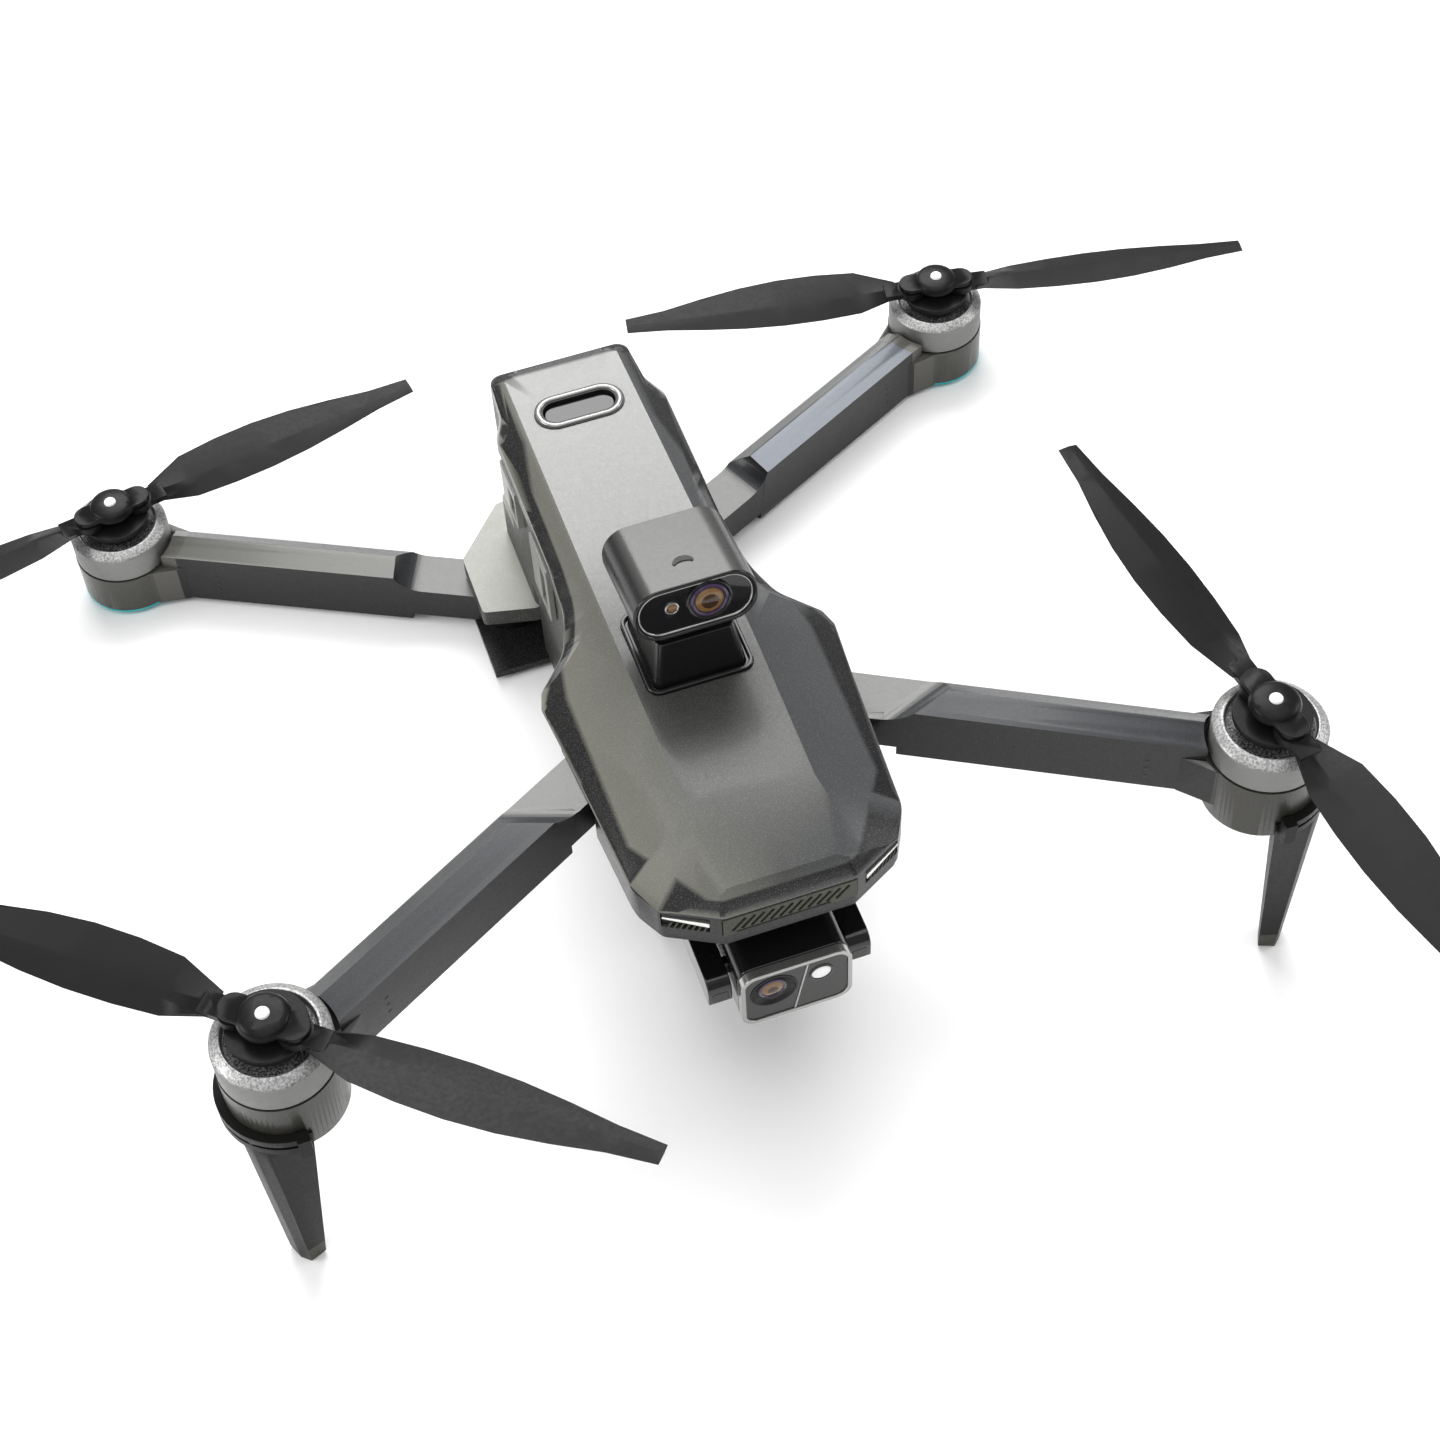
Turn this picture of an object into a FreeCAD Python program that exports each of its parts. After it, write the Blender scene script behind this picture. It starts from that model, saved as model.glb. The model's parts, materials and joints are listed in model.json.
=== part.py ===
import FreeCAD, Part

import math
import os

import Sketcher

# Folding quadcopter with a top sensor turret and a gimbal camera, as a parametric document.
#
# Millimetres. The nose points to -Y, +Z is up and z = 0 is the ground. Left and right are those of
# someone facing the nose, so +X is right. x = 0 is the plane of symmetry, and while the pieces are
# modelled y = 0 lies midway between the front and the rear motors; move_to_datum then shifts them all
# along Y so that the origin is under the middle of the whole craft.
doc = FreeCAD.newDocument("quadcopter")
sheet = doc.addObject("Spreadsheet::Sheet", "Dims")
vec = FreeCAD.Vector

# ---------------------------------------------------------------- driving dimensions
DIMENSIONS = {
    # places of the motors and of the arm pivots (right-hand side)
    "frontMotorX": 104.7,
    "frontMotorY": -94.2,
    "frontRim": 74.2,
    "rearMotorX": 108.6,
    "rearMotorY": 94.2,
    "rearRim": 20.6,
    "frontArmAngle": 29.5,
    "rearArmAngle": 27.6,
    "frontArmLength": 92.7,
    "rearArmLength": 97.7,
    # motor
    "bellRadius": 12.0,
    "bellHeight": 8.0,
    "bellTopRadius": 9.8,
    "shaftTop": 8.4,
    "shaftRadius": 1.3,
    "housingRadius": 12.2,
    "housingGap": 0.35,
    "frontHousingDepth": 23.2,
    "hubRadius": 6.2,
    # blades
    "bladeReach": 82.0,
    "bladePin": 6.4,
    "bladePinRadius": 1.0,
    "bladeLift": 3.4,
    # arms
    "armWidth": 11.5,
    "armHeight": 16.0,
    "rootThickness": 9.0,
    "knuckleRadius": 7.5,
    "pinRadius": 2.6,
    "pinPlay": 0.05,
    # body
    "wall": 1.6,
    "seamHeight": 63.4,
    "slotTop": 66.6,
    "bayFloor": 30.0,
    "bellyLow": 7.0,
    "tubHalf": 19.2,
    "podHalf": 31.2,
    "noseBottom": 58.6,
    # rear hinge block
    "podFloor": 0.7,
    "podRoofLow": 13.2,
    "podRoofHigh": 18.0,
    # battery
    "packHalf": 13.9,
    "packLength": 56.0,
    # turret
    "neckTop": 85.4,
    "turretY": -30.7,
    "turretHigh": 95.0,
    "turretWidth": 26.5,
    "turretDepth": 22.0,
    "turretTall": 13.0,
    "turretTilt": 10.0,
    # gimbal and camera
    "yokeHalf": 18.0,
    "yokeThick": 5.2,
    "yokeLow": 33.2,
    "yokeTall": 7.4,
    "cameraWidth": 24.4,
    "cameraTall": 18.0,
    "cameraDepth": 22.0,
    "cameraFrontY": -98.6,
    "cameraMidZ": 37.0,
    # power button, and how far the whole craft is moved so that the origin is under its middle
    "datumY": 31.7,
    "buttonLength": 21.2,
    "buttonWidth": 10.4,
}


def fill_sheet():
    for row, (alias, value) in enumerate(DIMENSIONS.items(), start=1):
        sheet.set(f"A{row}", alias)
        sheet.set(f"B{row}", str(value))
        sheet.setAlias(f"B{row}", alias)
    doc.recompute()


fill_sheet()


def dim(alias):
    """A driving dimension as the sheet holds it."""
    return float(getattr(sheet, alias))


NODES = {}
SIDES = {"left": -1, "right": 1}


def node(name, obj):
    """Name a finished sub-part: its Label is its node and file name."""
    obj.Label = name
    NODES[name] = obj
    return obj


# ---------------------------------------------------------------- making pieces
def origin_plane(body, role):
    return next(f for f in body.Origin.OriginFeatures if f.Role == role)


def rounded_edges(points, radii):
    """Lines and tangent arcs of a closed outline whose corner i has radius radii[i]."""
    count = len(points)
    starts, ends, arcs = [], [], []
    for i in range(count):
        corner = vec(*points[i], 0)
        before = vec(*points[i - 1], 0)
        after = vec(*points[(i + 1) % count], 0)
        radius = radii[i]
        if radius <= 0:
            starts.append(corner)
            ends.append(corner)
            arcs.append(None)
            continue
        to_before = (before - corner).normalize()
        to_after = (after - corner).normalize()
        half = to_before.getAngle(to_after) / 2
        reach = radius / math.tan(half)
        middle = (to_before + to_after).normalize()
        centre = corner + middle * (radius / math.sin(half))
        starts.append(corner + to_before * reach)
        ends.append(corner + to_after * reach)
        arcs.append(centre - middle * radius)
    edges = []
    for i in range(count):
        if arcs[i] is not None:
            edges.append(Part.Arc(starts[i], arcs[i], ends[i]))
        following = starts[(i + 1) % count]
        if (following - ends[i]).Length > 1e-6:
            edges.append(Part.LineSegment(ends[i], following))
    return edges


def sketch_on(body, role, edges, offset=0.0):
    sketch = body.newObject("Sketcher::SketchObject", "Outline")
    sketch.AttachmentSupport = [(origin_plane(body, role), "")]
    sketch.MapMode = "FlatFace"
    sketch.AttachmentOffset = FreeCAD.Placement(vec(0, 0, offset), FreeCAD.Rotation())
    sketch.addGeometry(edges, False)
    return sketch


def plate(points, low, thickness, radii=0.0, taper=0.0):
    """A body padded upwards from z = low from a closed plan outline with rounded corners."""
    body = doc.addObject("PartDesign::Body", "Plate")
    spread = radii if isinstance(radii, list) else [radii] * len(points)
    sketch = sketch_on(body, "XY_Plane", rounded_edges(points, spread), low)
    pad = body.newObject("PartDesign::Pad", "Pad")
    pad.Profile = sketch
    if isinstance(thickness, str):
        pad.setExpression("Length", thickness)
    else:
        pad.Length = thickness
    pad.TaperAngle = taper
    sketch.Visibility = False
    return body


def turned(profile, at=(0, 0, 0)):
    """A body revolved about its own Z axis from a closed (radius, height) profile."""
    body = doc.addObject("PartDesign::Body", "Turned")
    corners = [vec(x, z, 0) for x, z in profile]
    edges = [Part.LineSegment(a, b) for a, b in zip(corners, corners[1:] + corners[:1])]
    sketch = sketch_on(body, "XZ_Plane", edges)
    revolution = body.newObject("PartDesign::Revolution", "Revolution")
    revolution.Profile = sketch
    revolution.ReferenceAxis = (sketch, ["V_Axis"])
    revolution.Angle = 360
    sketch.Visibility = False
    body.Placement = FreeCAD.Placement(vec(*at), FreeCAD.Rotation())
    return body


def box(length, width, height, centre_x, centre_y, low):
    """A Part box centred on x and y that stands on z = low; sizes are numbers or sheet formulas."""
    block = doc.addObject("Part::Box", "Block")
    for prop, value in (("Length", length), ("Width", width), ("Height", height)):
        if isinstance(value, str):
            block.setExpression(prop, value)
        else:
            setattr(block, prop, value)
    doc.recompute()
    base = vec(centre_x - block.Length.Value / 2, centre_y - block.Width.Value / 2, low)
    block.Placement = FreeCAD.Placement(base, FreeCAD.Rotation())
    return block


def rod(radius, height, at, direction=(0, 0, 1)):
    """A Part cylinder from the point at, along direction; sizes are numbers or sheet formulas."""
    cylinder = doc.addObject("Part::Cylinder", "Rod")
    for prop, value in (("Radius", radius), ("Height", height)):
        if isinstance(value, str):
            cylinder.setExpression(prop, value)
        else:
            setattr(cylinder, prop, value)
    turn = FreeCAD.Rotation(vec(0, 0, 1), vec(*direction))
    cylinder.Placement = FreeCAD.Placement(vec(*at), turn)
    return cylinder


def fused(*pieces):
    joined = doc.addObject("Part::MultiFuse", "Fused")
    joined.Shapes = list(pieces)
    joined.Refine = True
    return joined


def cut(base, *tools):
    tool = tools[0] if len(tools) == 1 else fused(*tools)
    result = doc.addObject("Part::Cut", "Cut")
    result.Base = base
    result.Tool = tool
    result.Refine = True
    return result


def common(first, second):
    result = doc.addObject("Part::Common", "Common")
    result.Base = first
    result.Tool = second
    result.Refine = True
    return result


def group(*pieces):
    """Separate solids of one node, such as identical fasteners."""
    compound = doc.addObject("Part::Compound", "Group")
    compound.Links = list(pieces)
    return compound


def shape_piece(shape, name="Form"):
    feature = doc.addObject("Part::Feature", name)
    feature.Shape = shape
    return feature


def placed(obj, x=0.0, y=0.0, z=0.0, turn=0.0):
    obj.Placement = FreeCAD.Placement(vec(x, y, z), FreeCAD.Rotation(vec(0, 0, 1), turn))
    return obj


def mirrored_outline(half):
    """The whole outline of a plan whose right half runs from front to rear."""
    return half + [(-x, y) for x, y in reversed(half) if x > 0.01]


def rectangle(x0, x1, y0, y1):
    return [(x0, y0), (x1, y0), (x1, y1), (x0, y1)]


def stadium_radii(width):
    return [width / 2 - 0.01] * 4


# ---------------------------------------------------------------- body plan
SHOULDER = (32.8, -30.6)
PLAN_HALF = [
    (14.0, -95.6),
    (25.4, -89.4),
    (29.0, -82.6),
    (31.6, -47.0),
    (32.9, -33.2),
    (31.6, -28.8),
    (24.2, -20.4),
    (21.0, -10.8),
    (20.2, 4.0),
    (20.3, 44.6),
    (17.4, 51.0),
    (16.6, 63.8),
]
PLAN_RADII = [3.0, 3.0, 8.0, 20.0, 2.5, 2.5, 12.0, 30.0, 40.0, 5.0, 3.0, 3.0]
# height of the flat deck along the body, and its half width there
DECK = [(-98.0, 69.6, 11.0), (-74.0, 74.0, 13.4), (-34.0, 74.0, 14.0), (0.0, 72.0, 14.0), (66.0, 68.0, 13.6)]
FACET_SLOPE = 0.36


def plan_outline(inset=0.0):
    """The plan of the top shell, drawn in by inset all round."""
    outline = mirrored_outline(PLAN_HALF)
    radii = PLAN_RADII + list(reversed(PLAN_RADII))
    wire = Part.Wire([e.toShape() for e in rounded_edges(outline, radii)])
    if inset:
        wire = wire.makeOffset2D(-inset)
    return wire


def roof_form(drop=0.0, low=40.0):
    """Everything under the deck and its side facets, lowered by drop."""
    reach = 44.0
    sections = []
    for y, height, half in DECK:
        top = height - drop
        edge = top - FACET_SLOPE * (reach - half)
        ring = [
            vec(-reach, y, low),
            vec(-reach, y, edge),
            vec(-half, y, top),
            vec(half, y, top),
            vec(reach, y, edge),
            vec(reach, y, low),
        ]
        sections.append(Part.makePolygon(ring + ring[:1]))
    return Part.makeLoft(sections, True, True)


def sloped_plan(low, high, inset_low, inset_high):
    """A solid between the plan drawn in by two different amounts, for the rim's chamfer."""
    lower = plan_outline(inset_low)
    upper = plan_outline(inset_high)
    lower.translate(vec(0, 0, low))
    upper.translate(vec(0, 0, high))
    return Part.makeLoft([lower, upper], True, True)


def upright_plan(low, high, inset):
    face = Part.Face(plan_outline(inset))
    face.translate(vec(0, 0, low))
    return face.extrude(vec(0, 0, high - low))


def pivot(front, side):
    """Plan position of an arm's hinge axis."""
    name = "front" if front else "rear"
    angle = math.radians(dim(name + "ArmAngle"))
    length = dim(name + "ArmLength")
    sign = 1 if front else -1
    x = dim(name + "MotorX") - length * math.cos(angle)
    y = dim(name + "MotorY") + sign * length * math.sin(angle)
    return side * x, y


def rest_turn(front, side):
    """Turn of the arm's own frame, whose +X runs from the hinge out to the motor."""
    angle = -dim("frontArmAngle") if front else dim("rearArmAngle")
    return angle if side > 0 else 180 - angle


def make_top_shell():
    """Upper shell: bevelled rim, sloping facets and flat deck, open below."""
    seam, slot = dim("seamHeight"), dim("slotTop")
    wall = dim("wall")
    rim = upright_plan(dim("noseBottom"), slot + 0.2, 0.0)
    bevel = sloped_plan(slot, slot + 8.0, 0.0, 8.0)
    outer = rim.fuse(bevel).common(roof_form())
    inner = upright_plan(40.0, slot - 0.6, wall).fuse(sloped_plan(slot - 0.6, slot + 7.4, wall, wall + 8.0))
    inner = inner.common(roof_form(wall + 0.4, 38.0))
    shell = shape_piece(outer.cut(inner), "ShellForm")
    behind = box(90, 90.0, seam - 50.0, 0, 23.4, 50.0)
    slots = box(90, 40.8, slot - 50.0, 0, -42.0, 50.0)
    oval = dim("buttonLength")
    wide = dim("buttonWidth")
    well = plate(
        rectangle(-oval / 2, oval / 2, BUTTON_Y - wide / 2, BUTTON_Y + wide / 2),
        60.0, 20.0, stadium_radii(wide))
    neck_well = plate(rectangle(-NECK_LOW[0], NECK_LOW[0], NECK_LOW[1], NECK_LOW[2]), 60.0, 20.0, 3.0)
    face = plate(rectangle(-14.4, 14.4, -100.0, -93.4), GRILLE_LOW, GRILLE_HIGH - GRILLE_LOW)
    lamps = [lamp_form(side, 0.0) for side in SIDES.values()]
    return node("top_shell", cut(shell, behind, slots, well, neck_well, face, *lamps))


BUTTON_Y = 45.0
NECK_LOW = (11.8, -43.8, -20.6)
NECK_HIGH = (8.5, -40.0, -23.0)
GRILLE_LOW = 60.6
GRILLE_HIGH = 66.4


def lamp_form(side, shrink):
    """The headlight recess across a front corner of the nose."""
    inner = (16.4, -93.9)
    outer = (25.2, -89.1)
    depth = 3.0 - 2 * shrink
    run = vec(outer[0] - inner[0], outer[1] - inner[1], 0).normalize()
    inwards = vec(-run.y, run.x, 0)
    out = -2.0 + 2.4 * (shrink > 0)
    inset = run * shrink
    a = vec(*inner, 0) + inwards * out + inset
    b = vec(*outer, 0) + inwards * out - inset
    c = vec(*outer, 0) + inwards * depth - inset
    d = vec(*inner, 0) + inwards * depth + inset
    corners = [(side * p.x, p.y) for p in (a, b, c, d)]
    return plate(corners, GRILLE_LOW + 0.8 + shrink, 4.6 - 2 * shrink)


def make_nose():
    grille = plate(rectangle(-14.2, 14.2, -95.8, -93.6), GRILLE_LOW + 0.1, GRILLE_HIGH - GRILLE_LOW - 0.2)
    vents = []
    for k in range(12):
        vent = box(0.7, 1.2, 4.4, 0, -95.9, 0)
        lean = FreeCAD.Rotation(vec(0, 1, 0), 40)
        vent.Placement = FreeCAD.Placement(vec(-12.6 + 2.0 * k, -96.4, GRILLE_LOW + 1.5), lean)
        vents.append(vent)
    node("nose_grille", cut(grille, *vents))
    node("headlights", group(*[lamp_form(side, 0.15) for side in SIDES.values()]))


# ---------------------------------------------------------------- frame and rear hinge block
def make_mid_frame():
    """Dark hull under the shell: battery bay, front hinge floors and hinge barrels; open at the rear."""
    half, floor_top = dim("tubHalf"), FRONT_FLOOR
    bay, wall = dim("bayFloor"), dim("wall")
    seam = dim("seamHeight") - 0.2
    tub = plate(
        [(-half, -57.0), (half, -57.0), (half, 45.0), (half - 2.4, 50.0), (half - 2.6, 62.0),
         (-half + 2.6, 62.0), (-half + 2.4, 50.0), (-half, 45.0)],
        bay, seam - bay, [8, 8, 3, 3, 0, 0, 3, 3])
    shoulder = plate(
        mirrored_outline([(12.0, -62.4), (28.0, -62.4), (30.6, -34.0), (17.0, -30.0)]),
        floor_top - 2.4, 2.4, [0, 2, 3, 2, 2, 3, 2, 0])
    room = plate(
        [(-half + wall, -55.0), (half - wall, -55.0), (half - wall, 44.4), (half - wall - 2.4, 49.6),
         (half - wall - 2.4, 90.0), (-half + wall + 2.4, 90.0), (-half + wall + 2.4, 49.6), (-half + wall, 44.4)],
        bay + 2.0, 60.0, [6, 6, 3, 3, 0, 0, 3, 3])
    knuckle_room = box(90, 40.8, 20.0, 0, -42.0, floor_top)
    cheeks, rails, windows = [], [], []
    for side in SIDES.values():
        cheeks.append(box(wall, 8.0, 12.0, side * (half - wall - 0.6), -17.4, 54.2))
        rails.append(box(half - wall - dim("packHalf") - 0.2, 34.0, 3.0,
                         side * (half - wall + dim("packHalf") + 0.4) / 2, 26.0, bay + 1.9))
        windows.append(box(8.0, LATCH_LENGTH + 0.8, LATCH_TALL + 0.8, side * half, LATCH_Y, LATCH_LOW - 0.4))
    hull = cut(fused(tub, shoulder), room, knuckle_room, *windows)
    posts = [rod(5.0, 7.0, (*pivot(True, side), floor_top - 9.0)) for side in SIDES.values()]
    bores = [rod("Dims.pinRadius", 12.0, (*pivot(True, side), floor_top - 10.0)) for side in SIDES.values()]
    return node("mid_frame", cut(fused(hull, *posts, *cheeks, *rails), *bores))


def make_belly():
    """Lower hull tray under the battery bay, open at the top, with the sensor well in its floor."""
    half, low = dim("tubHalf") - 0.6, dim("bellyLow")
    high, wall = dim("bayFloor") - 0.1, dim("wall")
    tray = plate(rectangle(-half, half, -55.0, 32.4), low, high - low, [8, 8, 3, 3])
    hollow = plate(rectangle(-half + wall, half - wall, -55.0 + wall, 32.4 - wall), low + 2.0, 40.0, [6, 6, 2, 2])
    well = rod(5.3, 10.0, (0, FLOW_Y, low - 4.0))
    return node("belly_tray", cut(tray, hollow, well))


FRONT_FLOOR = 57.0
LATCH_Y = 36.6
LATCH_LENGTH = 12.0
LATCH_TALL = 11.6
LATCH_LOW = 50.6
FLOW_Y = -12.0


def make_rear_block():
    """Rear hinge block: core, floor and roof plates of the two pods, and the riser under the battery bay."""
    low, roof_low, roof_high = dim("podFloor"), dim("podRoofLow"), dim("podRoofHigh")
    reach, top = dim("podHalf"), dim("bayFloor") - 0.05
    core = plate(rectangle(-12.0, 12.0, 33.0, 62.0), low, top - low)
    floor = plate(
        mirrored_outline([(12.0, 29.8), (reach + 0.4, 29.8), (reach + 0.4, 55.4), (18.6, 68.6), (12.0, 69.6)]),
        low, 1.9)
    roof = plate(
        mirrored_outline([(12.0, 33.6), (19.0, 33.6), (reach, 36.6), (reach, 54.5), (18.6, 69.0), (12.0, 69.6)]),
        roof_low, roof_high - roof_low, [0, 0, 1.2, 2.0, 1.2, 0, 0, 1.2, 2.0, 1.2, 0, 0])
    riser = plate(rectangle(-18.4, 18.4, 33.0, 62.0), roof_low + 0.5, top - roof_low - 0.5, 3.0)
    tail_wall = plate(rectangle(-18.4, 18.4, 62.2, 69.2), low, roof_high - low, 1.0)
    hollow = plate(rectangle(-10.0, 10.0, 36.0, 59.6), low + 2.4, 22.0)
    bosses = [rod(2.8, 22.6, (x, y, low + 2.0)) for x, y in BLOCK_SCREWS]
    bores = [rod("Dims.pinRadius", 15.9, (*pivot(False, side), low + 0.6)) for side in SIDES.values()]
    for x, y in BLOCK_SCREWS:
        bores.append(rod(2.4, 1.2, (x, y, low - 0.1)))
        bores.append(rod(1.1, 9.6, (x, y, low)))
    block = cut(fused(core, floor, roof, riser, tail_wall), hollow)
    return node("rear_block", cut(fused(block, *bosses), *bores))


BLOCK_SCREWS = [(sx * 6.4, y) for sx in (-1, 1) for y in (39.4, 56.2)]


def make_hinge_pins():
    """Four hinge pins, pressed into the frame: two carry the front arms and two the rear arms."""
    pins = []
    for side in SIDES.values():
        pins.append(rod("Dims.pinRadius", 17.0, (*pivot(True, side), FRONT_FLOOR - 8.4)))
        pins.append(rod("Dims.pinRadius", 15.6, (*pivot(False, side), dim("podFloor") + 0.7)))
    return node("arm_hinge_pins", group(*pins))


# ---------------------------------------------------------------- arms
def beam_profile(low):
    """Section of an arm in its own frame: flat front side, ridge and far bevel; (across, height)."""
    front, back = -dim("armWidth") / 2, dim("armWidth") / 2
    high = low + dim("armHeight")
    return [
        (front, low + 0.8),
        (front + 0.8, low),
        (back - 0.8, low),
        (back, low + 0.8),
        (back, high - 3.4),
        (back - 4.8, high + 0.3),
        (front, high - 0.3),
    ]


def make_arm(name, front, side):
    """An arm with its hinge knuckle at the origin of its own frame and its motor housing at the far end."""
    length = dim("frontArmLength") if front else dim("rearArmLength")
    rim = dim("frontRim") if front else dim("rearRim")
    beam_low = rim - 20.2
    top = beam_low + dim("armHeight")
    housing_low = rim - dim("frontHousingDepth") if front else LAMP_HIGH + 0.1
    housing_high = rim - dim("bellHeight") - dim("housingGap")
    root_low = FRONT_FLOOR + 0.3 if front else dim("podFloor") + 2.3
    root_high = root_low + dim("rootThickness")
    # front of the craft is the arm's own -Y on the right side and +Y on the left side
    flip = side
    beam = doc.addObject("PartDesign::Body", "Beam")
    corners = [vec(flip * across, high, 0) for across, high in beam_profile(beam_low)]
    edges = [Part.LineSegment(a, b) for a, b in zip(corners, corners[1:] + corners[:1])]
    sketch = sketch_on(beam, "YZ_Plane", edges, 14.0)
    pad = beam.newObject("PartDesign::Pad", "Length")
    pad.Profile = sketch
    pad.Length = length - 14.0
    root_half = dim("armWidth") / 2
    knuckle = rod("Dims.knuckleRadius", "Dims.rootThickness", (0, 0, root_low))
    root = plate(
        [(0, -root_half), (32.0, -root_half), (32.0, root_half), (0, root_half)],
        root_low, "Dims.rootThickness")
    housing = rod("Dims.housingRadius", housing_high - housing_low, (length, 0, housing_low))
    gusset = plate(
        [(length - 17.0, -root_half), (length - 7.0, -9.0), (length - 2.0, -9.0),
         (length - 2.0, 9.0), (length - 7.0, 9.0), (length - 17.0, root_half)],
        beam_low + 0.6, housing_high - beam_low - 0.6)
    # the scoop drops from the beam's top to the low root plate along a slanting line
    scoop = doc.addObject("Part::Cylinder", "Scoop")
    scoop.Radius = SCOOP_RADIUS
    scoop.Height = 60.0
    slant, reach, notch = FRONT_SCOOP if front else REAR_SCOOP
    lean = FreeCAD.Rotation(vec(0, 0, 1), -flip * slant)
    along = lean.multVec(vec(0, 1, 0))
    across = FreeCAD.Rotation(vec(0, 0, 1), along)
    scoop_centre = vec(reach, 0, root_high + SCOOP_RADIUS)
    scoop.Placement = FreeCAD.Placement(scoop_centre - along * 30.0, across)
    shift = 14.0 * math.tan(math.radians(slant)) * flip
    above = plate(
        [(-12.0, -14.0), (reach - shift, -14.0), (reach + shift, 14.0), (-12.0, 14.0)], root_high, 30.0)
    below = plate([(-12.0, -14.0), (notch, -14.0), (notch, 14.0), (-12.0, 14.0)], root_low - 20.0, 20.0)
    bell_room = rod(dim("bellRadius") + 1.1, 40.0, (length, 0, housing_high))
    cup = rod(dim("housingRadius") - 1.4, 30.0, (length, 0, housing_low + 2.0))
    lens_room = rod(dim("housingRadius") + 0.1, 10.0, (length, 0, housing_low - 10.0))
    bore = rod(dim("pinRadius") + dim("pinPlay"), 30.0, (0, 0, root_low - 5.0))
    arm = cut(fused(beam, root, knuckle, housing, gusset), scoop, above, below, bell_room, cup, lens_room, bore)
    x, y = pivot(front, side)
    return node(name, placed(arm, x, y, 0, rest_turn(front, side)))


# slant of the scoop's line, how far out it meets the root plate, and how far out the underside steps
FRONT_SCOOP = (40.0, 17.0, 16.9)
REAR_SCOOP = (4.0, 20.6, 24.0)
SCOOP_RADIUS = 7.6
LAMP_HIGH = 1.4


def motor_place(front, side):
    name = "front" if front else "rear"
    return side * dim(name + "MotorX"), dim(name + "MotorY"), dim(name + "Rim")


def make_motor(corner, front, side):
    """Stator on the arm; bell with shaft, prop hub and two folding blades that turn together."""
    x, y, rim = motor_place(front, side)
    base = -dim("bellHeight") - dim("housingGap")
    shaft = dim("shaftRadius")
    cup = dim("housingRadius") - 1.4
    depth = (dim("frontHousingDepth") if front else rim - LAMP_HIGH - 0.1) - 2.0
    stator = turned([
        (shaft + 0.05, -depth), (cup - 0.3, -depth), (cup - 0.3, -depth + 2.0), (9.0, -depth + 2.0),
        (9.0, base + 5.6), (5.0, base + 5.6), (5.0, -2.4), (shaft + 0.05, -2.4)], (x, y, rim))
    node(f"stator_{corner}", stator)
    bell_outer, bell_top = dim("bellRadius"), dim("bellTopRadius")
    bell = turned([
        (0, -depth + 2.6), (shaft, -depth + 2.6), (shaft, -2.0), (bell_top - 0.9, -2.0),
        (bell_top - 0.9, -0.9), (10.2, -0.9), (10.2, -7.9), (bell_outer, -dim("bellHeight")),
        (bell_outer, 0), (bell_top, 0.6), (bell_top - 1.0, 0.6), (bell_top - 1.6, -1.2),
        (shaft, -1.2), (shaft, dim("shaftTop")), (0, dim("shaftTop"))], (x, y, rim))
    node(f"bell_{corner}", bell)
    make_propeller(corner, x, y, rim, BLADE_TURN[corner], HAND[corner])


# rest direction of each propeller, and the sense it turns in (1 is anticlockwise from above)
BLADE_TURN = {"front_right": 97.0, "front_left": 140.0, "rear_right": -10.4, "rear_left": 190.4}
HAND = {"front_right": 1, "front_left": -1, "rear_right": -1, "rear_left": 1}


def blade_section(radius, reach):
    """Chord, twist and camber of the blade at a distance from the motor axis."""
    share = (radius - 12.0) / (reach - 12.0)
    chord = 9.6 + 5.0 * math.sin(math.pi * min(1.0, share * 1.15 + 0.05)) - 5.2 * share ** 3
    twist = 15.0 - 10.0 * share
    return chord, twist


def blade_shape(reach, pin, lift, hand):
    """A blade in its own frame: pin eye at x = pin, then a twisted aerofoil out to x = reach."""
    eye = Part.makeCylinder(3.6, 1.9, vec(pin, 0, lift))
    sections = []
    steps = 7
    for k in range(steps + 1):
        radius = pin + 4.0 + (reach - 1.0 - pin - 4.0) * k / steps
        chord, twist = blade_section(max(radius, 12.0), reach)
        thick = 1.5 - 0.8 * k / steps
        if k == 0:
            chord, twist = 5.6, 4.0
        ends = [(-0.42 * chord, 0.0), (0.0, thick * 0.5), (0.58 * chord, 0.1), (0.0, -thick * 0.5)]
        turn = math.radians(twist)
        ring = []
        for across, high in ends:
            y = across * math.cos(turn) - high * math.sin(turn)
            z = across * math.sin(turn) + high * math.cos(turn)
            ring.append(vec(radius, hand * y, lift + 0.95 + z))
        sections.append(Part.makePolygon(ring + ring[:1]))
    vane = Part.makeLoft(sections, True, True)
    tongue = Part.makeBox(7.0, 5.0, 1.5, vec(pin, -2.5, lift + 0.2))
    blade = eye.fuse([tongue, vane])
    bore = Part.makeCylinder(dim("bladePinRadius") + 0.05, 8.0, vec(pin, 0, lift - 3.0))
    return blade.cut(bore).removeSplitter()


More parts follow.
